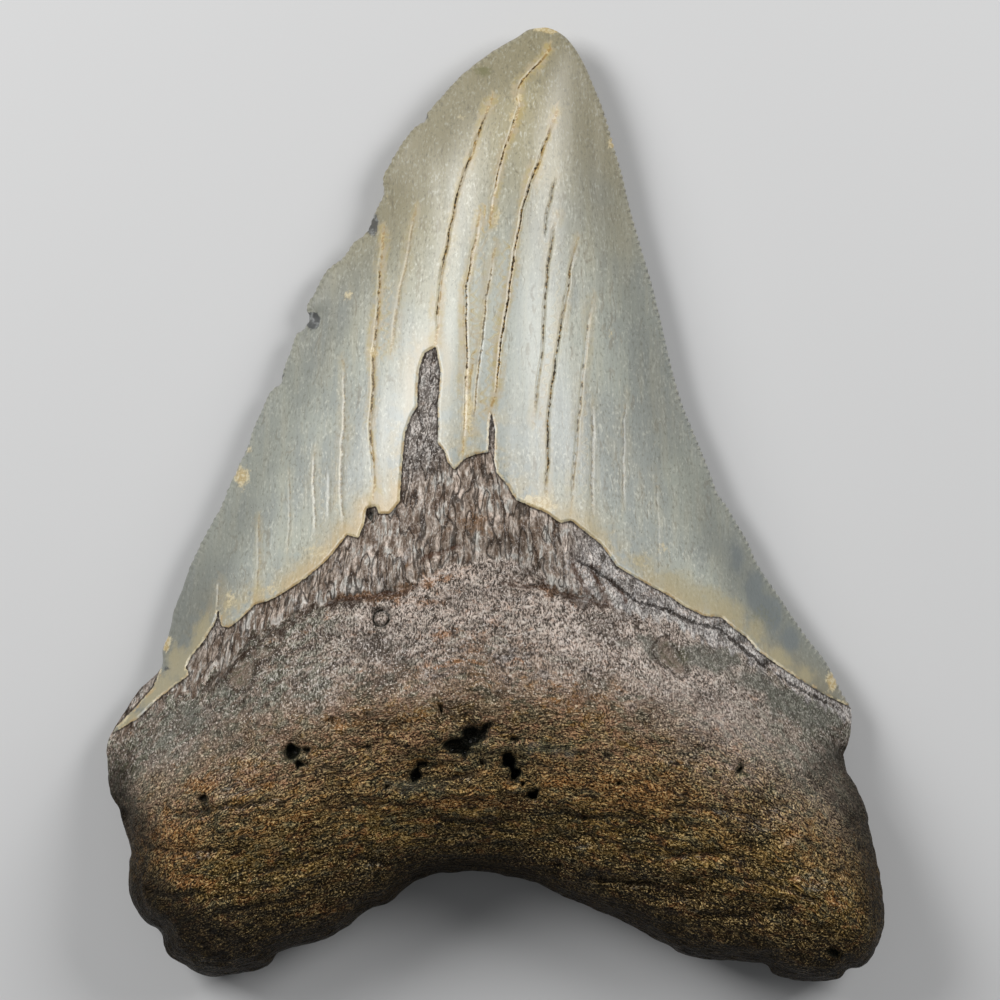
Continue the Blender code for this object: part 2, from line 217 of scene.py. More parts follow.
def softened(ring, reach, spacing):
    """A closed line with everything smaller than reach smoothed away."""
    index = np.arange(len(ring))
    away = np.minimum(index, len(ring) - index) * spacing
    weight = np.exp(-(away / reach) ** 2 / 2)
    blur = np.fft.rfft(weight / weight.sum())
    return np.column_stack([np.fft.irfft(np.fft.rfft(ring[:, axis]) * blur, len(ring)) for axis in (0, 1)])


def outward(line, closed=True):
    """Unit vectors square to a line. On a clockwise closed line they point out."""
    if closed:
        along = np.roll(line, -1, axis=0) - np.roll(line, 1, axis=0)
    else:
        along = np.gradient(line, axis=0)
    along /= np.linalg.norm(along, axis=1)[:, None]
    return np.column_stack([-along[:, 1], along[:, 0]])


def smooth(value):
    """0 below 0, 1 above 1, and an S curve between."""
    value = np.clip(value, 0, 1)
    return value * value * (3 - 2 * value)


FINE = 0.075                   # mm between the points of the finest outline
base_outline = evenly(closed_spline(drawn(outline_points)), FINE, closed=True)
print("outline length:", round(len(base_outline) * FINE), "mm")

# %% [markdown]
# ## Distances
#
# Two kinds of distance shape the tooth. The plain one, to the nearest point of a line, places grooves and ledges.
# The soft one gives the swelling: it adds up the pull of the whole outline, so it rises like a stretched sheet,
# with no crease down the middle where the plain distance has one. For a circle it is exactly a parabola.


# %% Tools for distances
def nearest(points, line):
    """Distance to the nearest point of a finely divided line, and that point's index."""
    tree = kdtree.KDTree(len(line))
    for index, (x, y) in enumerate(line):
        tree.insert((x, y, 0), index)
    tree.balance()
    found = [tree.find((x, y, 0)) for x, y in points]
    return np.array([item[2] for item in found]), np.array([item[1] for item in found])


def soft_distance(points, ring):
    """A smooth dome over a closed line."""
    pieces = np.linalg.norm(np.roll(ring, -1, axis=0) - ring, axis=1)
    groups = np.array_split(points, max(1, len(points) // 1500))
    total = [(pieces / ((group[:, None] - ring) ** 2).sum(axis=2)).sum(axis=1) for group in groups]
    return np.pi / np.concatenate(total)


def is_inside(points, ring):
    """Whether each point is inside a closed line, by counting the sides that it crosses."""
    start, end = ring, np.roll(ring, -1, axis=0)
    rise = np.where(end[:, 1] == start[:, 1], 1, end[:, 1] - start[:, 1])
    result = []
    for group in np.array_split(points, max(1, len(points) // 4000)):
        x, y = group[:, 0, None], group[:, 1, None]
        spans = (start[:, 1] > y) != (end[:, 1] > y)
        crossing = start[:, 0] + (y - start[:, 1]) * (end[:, 0] - start[:, 0]) / rise
        result.append((spans & (x < crossing)).sum(axis=1) % 2 == 1)
    return np.concatenate(result)


def wander(points, size, level):
    """Smooth noise between about -1 and 1. Size is one number, or one for x and one for y, in mm."""
    scaled = points / np.broadcast_to(size, 2)
    return np.array([noise.noise((x, y, level)) for x, y in scaled])


WHOLE_MARGIN = 0.75            # mm that the unworn outline lies outside the real one
whole_outline = softened(evenly(base_outline, 0.3, closed=True), 1.8, 0.3)
whole_outline = whole_outline + outward(whole_outline) * WHOLE_MARGIN
middle_of_root = drawn([(490, 620)])
print("soft distance in the middle:", round(float(soft_distance(middle_of_root, whole_outline)[0]), 1), "mm")

# %% [markdown]
# ## Lines on the upper face
#
# The enamel ends in a ragged line: a V over the collar, with a bare tongue that runs up where a flake came off
# between two cracks. Below it the collar's ribs end at a ledge. The cracks run from the tip to the base, as the
# enamel dried and split along its length. They are drawn one by one, since each has its own place and colour.

# %% The enamel's border, the ledge and the cracks
ENAMEL_BORDER = [
    (130, 652), (159, 669), (152, 688), (134, 708), (114, 728), (112, 733), (138, 718), (155, 701), (176, 684),
    (190, 674), (186, 667), (192, 655), (203, 642), (215, 623), (219, 609), (222, 625), (230, 627), (245, 615),
    (257, 603), (272, 599), (291, 588), (307, 577), (322, 565), (333, 554), (349, 534), (360, 537), (366, 522),
    (368, 508), (378, 506), (380, 513), (391, 513), (401, 501), (402, 484), (403, 465), (406, 434), (412, 417),
    (418, 407), (418, 388), (420, 369), (425, 354), (436, 348), (441, 372), (440, 388), (438, 409), (439, 428),
    (438, 443), (446, 453), (448, 462), (455, 470), (465, 459), (477, 454), (488, 453), (489, 430), (491, 411),
    (495, 430), (494, 460), (496, 472), (507, 485), (515, 499), (530, 506), (545, 512), (559, 522), (570, 520),
    (584, 531), (598, 542), (607, 553), (615, 565), (630, 574), (649, 585), (665, 593), (684, 606), (703, 615),
    (720, 616), (732, 627), (745, 636), (757, 650), (775, 663), (793, 675), (811, 686), (826, 695), (836, 700),
    (862, 712)]
COLLAR = [
    (60, 760), (112, 730), (190, 676), (257, 612), (333, 560), (402, 505), (450, 474), (490, 462), (530, 490),
    (607, 553), (684, 604), (757, 650), (836, 702), (900, 730)]
COLLAR_LEDGE = [
    (100, 750), (140, 722), (178, 690), (196, 694), (215, 676), (232, 658), (252, 636), (285, 620), (325, 601),
    (350, 596), (377, 594), (405, 587), (430, 574), (465, 562), (500, 558), (530, 566), (552, 584), (572, 596),
    (596, 598), (612, 606), (640, 616), (668, 622), (700, 640), (740, 657), (775, 678), (800, 694), (838, 712),
    (870, 740)]
# The thin dark line in the right half of the collar.
COLLAR_SPLIT = [(578, 560), (596, 571), (615, 584), (634, 600), (660, 606), (690, 620), (718, 628), (738, 645),
                (760, 663), (790, 684), (815, 697), (838, 708)]
# Each crack: how dark it is, how tan its rims are, and its points.
CRACKS = [
    (0.75, 1.0, [(551, 48), (545, 56), (538, 63), (530, 72), (523, 80), (518, 89), (516, 98), (518, 108),
                 (514, 121), (509, 134), (503, 153), (499, 168), (495, 186), (491, 207), (488, 224)]),
    (0.85, 0.9, [(492, 99), (484, 120), (476, 140), (468, 163), (458, 192), (453, 219), (444, 261), (440, 284),
                 (438, 310), (436, 346)]),
    (0.9, 1.0, [(557, 111), (548, 135), (538, 161), (524, 203), (515, 247), (507, 307), (501, 342), (498, 374),
                (492, 413)]),
    (0.55, 0.2, [(557, 176), (552, 189), (548, 207), (545, 225), (543, 242)]),
    (0.65, 0.4, [(558, 216), (553, 232), (549, 254), (546, 280), (544, 306), (542, 342), (537, 384), (533, 422)]),
    (0.8, 0.5, [(578, 241), (572, 258), (566, 294), (557, 346), (551, 388), (547, 422), (547, 457), (544, 504)]),
    (0.55, 0.4, [(592, 298), (587, 327), (582, 372), (578, 413), (574, 455), (570, 512)]),
    (0.45, 0.2, [(592, 401), (591, 457), (591, 518)]),
    (0.35, 0.1, [(626, 392), (622, 422), (622, 508)]),
    (0.7, 0.9, [(480, 215), (473, 253), (466, 287), (467, 365), (465, 413), (463, 452)]),
    (0.5, 0.6, [(494, 247), (487, 296), (482, 346), (477, 384), (473, 432)]),
    (0.62, 0.9, [(385, 230), (381, 253), (379, 291), (377, 326), (374, 353), (374, 387), (371, 427), (373, 457),
                 (376, 499)]),
    (0.3, 0.5, [(416, 209), (412, 234), (405, 272), (397, 310), (392, 353)]),
    (0.4, 0.3, [(344, 360), (345, 407), (344, 436), (342, 480), (346, 536)]),
    (0.4, 0.2, [(315, 451), (316, 503), (318, 538)]),
    (0.3, 0.3, [(260, 518), (259, 560), (259, 599)]),
    (0.4, 0.2, [(219, 580), (218, 616)]),
    (0.3, 0.1, [(290, 470), (291, 520), (289, 560)]),
    (0.3, 0.1, [(330, 470), (331, 520)]),
    (0.3, 0.1, [(655, 470), (657, 540), (656, 580)])]
# Level creases low on the root, then grooves along the ledge and slanted ones between the collar's chunks.
CREASES = [
    [(596, 873), (620, 877), (653, 880), (668, 884), (683, 890)], [(522, 864), (540, 866), (556, 869)],
    [(268, 864), (300, 859), (330, 850), (360, 852), (384, 860)], [(146, 841), (180, 848), (222, 845)],
    [(622, 846), (660, 849), (700, 846), (738, 850)], [(696, 868), (740, 873), (790, 884), (812, 896)],
    [(562, 808), (600, 813), (642, 809)], [(330, 803), (372, 797), (414, 801)], [(700, 908), (724, 912), (750, 909)],
    [(226, 905), (262, 900), (300, 892), (322, 880)], [(404, 786), (440, 775), (478, 768)],
    [(182, 810), (240, 802), (280, 792)], [(436, 812), (480, 818), (524, 814)], [(150, 886), (176, 892), (204, 888)],
    [(660, 800), (710, 804), (760, 816)], [(327, 601), (350, 597), (378, 596), (404, 590), (420, 584)],
    [(424, 556), (440, 552), (460, 545)], [(503, 583), (530, 585), (561, 590), (584, 597), (602, 603)],
    [(571, 559), (574, 570), (581, 582), (589, 594)], [(590, 566), (597, 577), (601, 590), (607, 603)],
    [(609, 579), (617, 589), (623, 601)], [(562, 594), (580, 595), (598, 602)]]
print("cracks:", len(CRACKS), " creases:", len(CREASES))

# %% [markdown]
# ## Pits, hollows and swellings
#
# A shark tooth's root is fed through small holes, which lie in a shallow groove over the arch. Some are deep and
# dark, others are dents. The root also has broad lumps and folds. They are all soft round bumps with a place, two
# half sizes and a height, and their outlines are made uneven later, because no hole in bone is a clean circle.

# %% The root's pits and lumps
# Drawing column and row, half width and half height in steps, depth in mm.
PITS = [
    (456, 741, 12, 9, 1.9), (474, 731, 11, 9, 1.8), (487, 723, 6, 6, 1.2), (470, 748, 12, 5, 0.7),
    (417, 769, 7, 8, 1.6), (424, 760, 6, 4, 0.9), (389, 781, 4, 3, 0.9), (508, 756, 6, 7, 2.0),
    (514, 768, 6, 8, 1.9), (523, 779, 4, 5, 1.3), (533, 790, 5, 5, 2.4), (514, 734, 5, 3, 1.0),
    (482, 758, 3, 3, 0.9), (296, 747, 7, 7, 1.9), (303, 759, 5, 3, 1.5), (311, 744, 6, 3, 1.1),
    (208, 794, 4, 7, 1.3), (212, 806, 3, 8, 0.6), (736, 766, 4, 4, 1.3), (738, 760, 3, 5, 0.7),
    (618, 778, 4, 3, 0.9), (617, 741, 2, 2, 0.6), (584, 814, 4, 3, 0.8), (441, 704, 3, 4, 1.0),
    (830, 949, 6, 5, 1.1), (336, 717, 3, 3, 0.6), (371, 744, 4, 3, 0.7), (372, 515, 5, 7, 1.0),
    (371, 709, 2, 3, 0.5), (626, 730, 3, 2, 0.4), (696, 742, 3, 2, 0.4), (360, 742, 8, 4, 0.5),
    (775, 905, 7, 4, 0.6), (690, 878, 9, 4, 0.6), (560, 860, 5, 3, 0.5), (250, 735, 4, 3, 0.4)]
RING_PIT = (383, 616)          # drawing place of a shallow pit that kept its middle
RING_RADIUS = 1.0              # mm
DENTS = [
    (246, 671, 13, 13, 1.0), (662, 646, 12, 13, 0.8), (673, 662, 12, 13, 0.8), (560, 830, 60, 16, 0.8),
    (330, 640, 40, 14, 0.5), (120, 808, 14, 12, 1.3), (846, 755, 14, 10, 1.2), (268, 860, 50, 15, 0.6),
    (760, 905, 50, 14, 0.7), (440, 760, 50, 22, 0.7), (520, 770, 24, 30, 0.6), (620, 879, 26, 4, 0.7),
    (250, 705, 30, 8, 0.4), (316, 320, 9, 11, 0.6), (371, 224, 9, 14, 0.5)]
SWELLINGS = [
    (480, 700, 190, 60, 1.5), (470, 788, 52, 12, 1.0), (380, 800, 60, 11, 0.7), (690, 790, 110, 40, 1.0),
    (230, 800, 90, 50, 0.9), (660, 865, 90, 13, 0.8), (210, 905, 60, 30, 0.9), (810, 900, 50, 30, 0.8),
    (300, 700, 90, 30, 0.5), (640, 700, 110, 30, 0.5), (740, 830, 60, 12, 0.6), (790, 760, 50, 26, 0.7),
    (702, 902, 40, 7, 0.5), (585, 582, 7, 13, 0.25), (608, 594, 6, 10, 0.2)]
# The three worn spots on the underside that carry the tooth: drawing column and row, radius in steps.
REST_SPOTS = [(215, 875, 95), (770, 880, 95), (500, 430, 110)]
print("pits:", len(PITS), " dents:", len(DENTS), " swellings:", len(SWELLINGS))


# %% Bumps on a surface
def bumps(points, table, power=1.0):
    """Sum of soft round bumps, steeper at their rims with a higher power."""
    total = np.zeros(len(points))
    for column, row, half_width, half_height, height in table:
        centre = drawn([(column, row)])[0]
        reach = ((points - centre) / (np.array([half_width, half_height]) * STEP)) ** 2
        near = reach.sum(axis=1)
        close = near < 9
        total[close] += height * np.exp(-near[close] ** power)
    return total


# %% [markdown]
# ## The tooth's thickness
#
# The crown is a lens: domed inside, flat outside, with a thin edge. The root is much thicker and has full round
# sides. Both rise from the soft distance, the crown in proportion to it and the root with its square root, which
# is what makes a section elliptical. Across the collar one passes smoothly into the other.

# %% The heights of both faces
CROWN_SLOPE = 1.12             # rise of the crown's dome for each millimetre of soft distance
CUTTING_EDGE_HEIGHT = 2.8      # mm above the floor
TIP_LIFT = 1.4                 # mm that the tip stands higher than the rest of the edge
ROOT_EDGE_HEIGHT = 6.8         # mm, the widest line round the root's sides
ROOT_BULGE = 4.35              # rise of the root's dome, times the root of the soft distance
ROOT_UNDERSIDE = 5.8           # mm below the root's widest line
CROWN_UNDERSIDE = 2.2          # mm below the cutting edges
REST_WEAR = 0.7                # mm that the resting spots would stand out if they weren't worn flat
ENAMEL_STEP = 0.38             # mm from the enamel down to the collar
collar_line = drawn(COLLAR)


def above_line(points, line):
    """Distance above a left-to-right line, measured square to its usual slope."""
    usual_slope_cosine = 0.82
    return (points[:, 1] - np.interp(points[:, 0], line[:, 0], line[:, 1])) * usual_slope_cosine


def rootness(points, reach=9.0, early=0.35):
    """0 on the crown, 1 on the root, and a smooth change over the given reach across the collar."""
    return smooth(early - above_line(points, collar_line) / reach)


def edge_height(points):
    """Height of the tooth's widest line: low along the cutting edges, higher round the thick root."""
    crown = CUTTING_EDGE_HEIGHT + TIP_LIFT * smooth((points[:, 1] - 25) / 40)
    return crown + (ROOT_EDGE_HEIGHT - crown) * rootness(points, reach=30, early=0.25)


def rounding(points, distance):
    """0 at the outline and 1 inside it: a quarter circle, small on the crown and large on the root."""
    radius = 0.5 + 2.3 * rootness(points)
    return np.sqrt(1 - (1 - np.minimum(distance / radius, 1)) ** 2)


def upper_rise(points):
    """The plain swelling of the inner face above the widest line."""
    dome = soft_distance(points, whole_outline)
    crown = CROWN_SLOPE * dome * (dome + 1.5) / (dome + 3.2)
    root = ROOT_BULGE * np.sqrt(dome)
    return crown + (root - crown) * rootness(points, reach=30, early=0.2)


def lower_height(points, distance):
    """The outer face: nearly flat, with three worn spots at height 0 that the tooth lies on."""
    dome = soft_distance(points, whole_outline)
    crown = CROWN_UNDERSIDE * np.tanh(dome / 9)
    root = ROOT_UNDERSIDE * np.tanh(dome / 2.4)
    drop = crown + (root - crown) * rootness(points, reach=30, early=0.25)
    drop += 0.25 * wander(points, 9.0, 30.0) * rootness(points)
    height = edge_height(points) - drop * rounding(points, distance)
    for column, row, radius in REST_SPOTS:
        centre = drawn([(column, row)])[0]
        reach = np.linalg.norm(points - centre, axis=1) / (radius * STEP)
        spot = smooth((1.6 - reach) / 0.7) * rounding(points, distance)
        height += spot * (-REST_WEAR - height)
    return np.maximum(height, 0)


print("rise in the middle:", round(float(upper_rise(middle_of_root)[0]), 1), "mm")

# %% [markdown]
# ## Serrations
#
# Both cutting edges are toothed like a steak knife, nearly twelve small rounded teeth to a centimetre. They are real
# geometry, because they make the outline. Each is a rounded bump with a sharp valley, which is the shape of the
# absolute value of a sine. The pitch drifts a little, and on the worn left edge the teeth are lower.

# %% The serrated outline
SERRATION_PITCH = 0.86         # mm
SERRATION_HEIGHT = 0.26        # mm, on the edge that is less worn
travelled = np.arange(len(base_outline)) * FINE
out = outward(softened(base_outline, 1.2, FINE))
crown_part = 1 - rootness(base_outline, reach=6, early=0.45)
on_left = (np.arange(len(base_outline)) > len(base_outline) // 2).astype(float)
phase = travelled / SERRATION_PITCH + 0.5 * wander(base_outline, 6.0, 2.0)
tooth_shape = np.abs(np.sin(np.pi * phase)) ** 0.75 - 0.6
wear = np.clip(0.75 + 0.6 * wander(base_outline, 4.5, 7.0), 0.15, 1.15) * (1 - 0.42 * on_left)
tip_wear = smooth((drawn([(549, 60)])[0][1] - base_outline[:, 1]) / 4)
nibble = wander(base_outline, 1.1, 11.0) * 0.10 * on_left
left_base = on_left * smooth((drawn([(180, 560)])[0][1] - base_outline[:, 1]) / 4.0)
serration = crown_part * (SERRATION_HEIGHT * tooth_shape * wear * tip_wear * (1 - left_base) + nibble)
serrated_outline = base_outline + out * serration[:, None]
print("serrations:", round(float(crown_part.sum() * FINE / SERRATION_PITCH)))

# %% [markdown]
# ## The fine form of the upper face
#
# On top of the plain swelling come the things that a finger would feel: the step down from the enamel to the
# collar, the collar's ribs, the ledge under them, the cracks, the pits and the root's folds. They are added as
# heights here and not as bump in the material, so they are there from every side.

# %% The lines that the fine form is measured from
border = drawn(ENAMEL_BORDER)
border_fine = evenly(border, 0.15)
AROUND_THE_TIP = [(90, -20), (60, 90), (-60, 90), (-90, -20)]     # mm, closes a border well outside the crown
enamel_loop = np.vstack([border, AROUND_THE_TIP])
ledge_fine = evenly(drawn(COLLAR_LEDGE), 0.2)
split_fine = evenly(drawn(COLLAR_SPLIT), 0.2)
CRACK_SPACING = 0.35           # mm between mesh points along a crack
CRACK_WALL = 0.15              # mm from a crack's middle to its upper edge
crack_lines = [evenly(drawn(points), CRACK_SPACING) for *_, points in CRACKS]


def meander(line, index):
    """A crack's own small wobble."""
    sideways = 0.16 * wander(line, 2.2, 50.0 + index) + 0.06 * wander(line, 0.7, 90.0 + index)
    return line + outward(line, closed=False) * sideways[:, None]


crack_lines = [meander(line, index) for index, line in enumerate(crack_lines)]
crease_points = np.vstack([evenly(drawn(points), 0.2) for points in CREASES])
crack_points = np.vstack(crack_lines)
crack_owner = np.concatenate([[index] * len(line) for index, line in enumerate(crack_lines)])
crack_place = np.concatenate([np.linspace(0, 1, len(line)) for line in crack_lines])
print("crack points:", len(crack_points))


# %% Measures of the upper face
def flow(points):
    """Coordinates in which the root's fibres are level: they sink towards both lobes."""
    return np.column_stack([points[:, 0], points[:, 1] + 0.005 * points[:, 0] ** 2])


def rockiness(points):
    """Lumps and folds of the root, in mm. They lie level, more so and more sharply further down."""
    below = -above_line(points, collar_line)
    level = flow(points)
    folds = wander(points * np.array([0.35, 1.0]), 3.2, 4.0) + 0.6 * wander(points, 6.0, 9.0)
    lumps = wander(level, (2.2, 1.3), 43.0)
    fibres = 0.34 * wander(level, (7.0, 1.3), 15.0) + 0.24 * wander(level, (3.4, 0.80), 16.0)
    fibrous = smooth((below - 20) / 16)
    return smooth(below / 12) * (0.45 * folds + 0.16 * lumps) + fibrous * fibres


def measure_upper(points):
    """Everything that the heights and the material need to know about places on the upper face."""
    border_gap, _ = nearest(points, border_fine)
    enamel = np.where(is_inside(points, enamel_loop), border_gap, -border_gap)
    crack_gap, crack_index = nearest(points, crack_points)
    owner = crack_owner[crack_index]
    dark, tan = (np.array([row[column] for row in CRACKS])[owner] for column in range(2))
    ends = smooth(np.minimum(crack_place[crack_index], 1 - crack_place[crack_index]) / 0.16)
    ledge_gap, ledge_index = nearest(points, ledge_fine)
    over_ledge = np.where(points[:, 1] > np.interp(points[:, 0], *ledge_fine.T), ledge_gap, -ledge_gap)
    split_gap, _ = nearest(points, split_fine)
    crease_gap, _ = nearest(points + 0.5 * np.column_stack([wander(points, 2.5, 22.0), wander(points, 2.5, 24.0)]),
                            crease_points)
    uneven = np.column_stack([wander(points, 1.1, 61.0), wander(points, 1.1, 71.0)]) * 0.55
    pit = bumps(points + uneven, PITS, power=1.4)
    ring_gap = np.linalg.norm(points - drawn([RING_PIT])[0], axis=1) - RING_RADIUS
    pit += 0.95 * np.exp(-(ring_gap / 0.26) ** 2)
    return {
        "enamel": enamel, "crack_gap": crack_gap, "crack_dark": dark * ends, "crack_tan": tan,
        "crack_side": np.where(points[:, 0] > crack_points[crack_index, 0], crack_gap, -crack_gap),
        "over_ledge": over_ledge, "ledge_place": ledge_index / len(ledge_fine),
        "split_gap": split_gap, "pit": pit, "crease_gap": crease_gap, "rocky": rockiness(points)}


def ledge_strength(place):
    """How clear the ledge is along its length: nothing at both ends, and lost in the middle."""
    left = smooth((place - 0.13) / 0.03) * smooth((0.42 - place) / 0.08)
    right = smooth((place - 0.52) / 0.06) * smooth((0.74 - place) / 0.10)
    return 0.18 * smooth((place - 0.10) / 0.05) * smooth((0.92 - place) / 0.05) + 0.7 * left + 0.6 * right


def upper_detail(points, measures):
    """Height of the fine form of the upper face, in mm."""
    enamel = measures["enamel"]
    bare = smooth(0.5 - enamel / 0.24)
    detail = -ENAMEL_STEP * bare
    detail += 0.12 * bare * np.exp(-np.maximum(-enamel, 0) / 3.0) * wander(points, 0.8, 20.0)
    in_collar = bare * smooth(0.5 + measures["over_ledge"] / 1.2)
    ribs = wander(points, (0.42, 2.4), 5.0) + 0.5 * wander(points, (0.25, 1.2), 6.0)
    detail += 0.13 * in_collar * ribs
    ledge = ledge_strength(measures["ledge_place"])
    detail -= 0.50 * ledge * np.exp(-(measures["over_ledge"] / 0.55) ** 2)
    detail -= 0.28 * bare * np.exp(-(measures["split_gap"] / 0.28) ** 2)
    crack = np.clip(1 - measures["crack_gap"] / CRACK_WALL, 0, 1)
    detail -= (1 - bare) * measures["crack_dark"] * 0.24 * crack
    detail += (1 - bare) * (0.05 * wander(points, (1.2, 16.0), 33.0) + 0.05 * wander(points, (2.6, 22.0), 35.0))
    detail += measures["rocky"] - 0.40 * np.exp(-(measures["crease_gap"] / 0.42) ** 2)
    detail += bumps(points, SWELLINGS) - bumps(points, DENTS, power=1.3) - measures["pit"]
    return detail


# %% [markdown]
# ## Where the mesh points go
#
# A mesh for a thing like this should be fine only where something happens. The strip beside the outline is made
# of rows that follow it. Cracks, the enamel's border and pits get points of their own, laid along them. What is
# left is filled with a triangular lattice, finer on the collar and root, coarser on the smooth crown and underside.
# A constrained Delaunay triangulation then joins all of them.

# %% Spacings
COLLAR_SPACING = 0.33
ROOT_SPACING = 0.38
CROWN_SPACING = 0.60
UNDERSIDE_SPACING = 0.85
CROWN_RIM = 0.55               # width of the strip beside a cutting edge
ROOT_RIM = 1.7                 # width of the strip beside the root's outline
UPPER_ROWS = 7
LOWER_ROWS = 4
FEATURE_GAP = 0.13             # mm, least distance between points along features
LATTICE_GAP = 0.55             # least distance of a lattice point from the others, in lattice spacings
COLLAR_BAND = (-9.0, 1.5)      # mm below and above the collar's line that get the collar's spacing
BEYOND = 99.0                  # mm, further than any point
CROWN_STRIDE = 2               # every second point of the fine outline is used on the crown
ROOT_STRIDE = 5

stride_sum = np.cumsum(1 / np.where(crown_part > 0.3, CROWN_STRIDE, ROOT_STRIDE))
chosen = np.flatnonzero(np.diff(np.floor(stride_sum), prepend=-1) > 0)
outline = serrated_outline[chosen]
inner_start = base_outline[chosen]
rim_width = (CROWN_RIM + (ROOT_RIM - CROWN_RIM) * rootness(base_outline, reach=12))[chosen]
inward = -outward(softened(base_outline, 2.0, FINE))[chosen]
rim = inner_start + inward * rim_width[:, None]
print("points round the outline:", len(outline))


# %% Filling a face with points
def lattice(spacing):
    """A triangular lattice over the whole tooth."""
    rows = np.arange(-64, 64, spacing * np.sqrt(3) / 2)
    columns = np.arange(-54, 54, spacing)
    shift = (np.arange(len(rows)) % 2)[:, None] * spacing / 2
    return np.column_stack([(columns + shift).ravel(), np.repeat(rows, len(columns))])


def spread_out(points, taken, gap):
    """The points that keep a gap to those already taken and to each other, first come first kept."""
    cells = {}
    kept = []

    def free(point):
        column, row = int(point[0] // gap), int(point[1] // gap)
        for near_column in (column - 1, column, column + 1):
            for near_row in (row - 1, row, row + 1):
                for other in cells.get((near_column, near_row), ()):
                    if (other[0] - point[0]) ** 2 + (other[1] - point[1]) ** 2 < gap * gap:
                        return False
        cells.setdefault((column, row), []).append(point)
        return True

    for point in taken:
        cells.setdefault((int(point[0] // gap), int(point[1] // gap)), []).append(tuple(point))
    for point in points:
        if free(tuple(point)):
            kept.append(point)
    return np.array(kept)


def line_rows(line, offsets):
    """Copies of a line at both sides of it."""
    across = outward(line, closed=False)
    return [line + across * offset for offset in offsets]


def feature_points():
    """Points along cracks, the enamel's border, the collar's split and round the pits."""
    groups = list(crack_lines)
    border_rows = evenly(border, 0.28)
    groups += line_rows(border_rows, (0.13, -0.13, 0.45, -0.45))
    for line in crack_lines:
        groups += line_rows(line, (CRACK_WALL, -CRACK_WALL, 0.42, -0.42))
    groups += line_rows(evenly(drawn(COLLAR_SPLIT), 0.3), (0, 0.3, -0.3))
    for column, row, half_width, half_height, _ in PITS:
        angles = np.linspace(0, 2 * np.pi, max(10, int((half_width + half_height) * 1.3)), endpoint=False)
        circle = np.column_stack([np.cos(angles), np.sin(angles)]) * np.array([half_width, half_height]) * STEP
        groups += [drawn([(column, row)]) + circle * share for share in (0, 0.4, 0.7, 0.9, 1.1)]
    angles = np.linspace(0, 2 * np.pi, 26, endpoint=False)
    circle = np.column_stack([np.cos(angles), np.sin(angles)])
    ring_radii = (0.5, RING_RADIUS - 0.25, RING_RADIUS, RING_RADIUS + 0.25)
    groups += [drawn([RING_PIT]) + circle * radius for radius in ring_radii]
    return np.vstack(groups)


def face_points(upper):
    """Points inside one face's rim: features first, then a lattice that fills what is left."""
    features = np.empty((0, 2))
    if upper:
        features = feature_points()
        features = features[is_inside(features, rim)]
        features = spread_out(features, rim, FEATURE_GAP)
    taken = np.vstack([rim, features])
    fillers = []
    zones = ((COLLAR_SPACING, *COLLAR_BAND), (ROOT_SPACING, -BEYOND, COLLAR_BAND[0]),
             (CROWN_SPACING, COLLAR_BAND[1], BEYOND))
    if not upper:
        zones = ((UNDERSIDE_SPACING, -BEYOND, BEYOND),)
    for spacing, low, high in zones:
        points = lattice(spacing)
        height = above_line(points, collar_line)
        points = points[(height >= low) & (height < high)]
        points = points[is_inside(points, rim)]
        gap, _ = nearest(points, taken)
        fillers.append(points[gap > spacing * LATTICE_GAP])
    return np.vstack([features] + fillers)


upper_points = face_points(True)
lower_points = face_points(False)
print("points inside the upper face:", len(upper_points), " inside the lower face:", len(lower_points))


# %% [markdown]
# ## Sewing the mesh together
#
# Each face is a ring of rows and a triangulated middle. Both share the outline, which is the tooth's widest line,
# so sewing them along it closes the mesh. The rows crowd together near the outline, where the root's side is
# steep, so that they lie evenly on the real surface and not on the drawing.

# %% Triangles of one face
def strip_triangles(count, rows):
    """Two triangles for each cell of the rows beside the outline, facing up."""
    index = np.arange(count)
    after = (index + 1) % count
    triangles = []
    for row in range(rows):
        a, b = row * count + index, row * count + after
        triangles += [np.column_stack([a, a + count, b + count]), np.column_stack([a, b + count, b])]
    return np.vstack(triangles)


def middle_triangles(ring, inner):
    """A Delaunay triangulation inside a ring, facing up, in the order ring, then inner points."""
    points = np.vstack([ring, inner])
    made = delaunay_2d_cdt([Vector(point) for point in points], [], [list(range(len(ring)))], 1, 1e-6)
    origin = np.array([item[0] for item in made[3]])
    if len(origin) != len(points):
        print("points that the triangulation merged or made:", len(origin) - len(points))
    triangles = origin[np.array(made[2])]
    corner = points[triangles]
    first, second = corner[:, 1] - corner[:, 0], corner[:, 2] - corner[:, 0]
    turned = first[:, 0] * second[:, 1] - first[:, 1] * second[:, 0] < 0
    triangles[turned] = triangles[turned][:, ::-1]
    return triangles


def flat_face(inner, rows):
    """Places and triangles of one face, before it gets its heights."""
    shares = 1 - np.cos(np.pi / 2 * np.arange(rows + 1) / rows)
    strips = [outline + (rim - outline) * share for share in shares]
    triangles = middle_triangles(rim, inner) + len(outline) * rows
    return np.vstack(strips + [inner]), np.vstack([strip_triangles(len(outline), rows), triangles])


upper_flat, upper_triangles = flat_face(upper_points, UPPER_ROWS)
lower_flat, lower_triangles = flat_face(lower_points, LOWER_ROWS)
print("triangles:", len(upper_triangles), "above and", len(lower_triangles), "below")

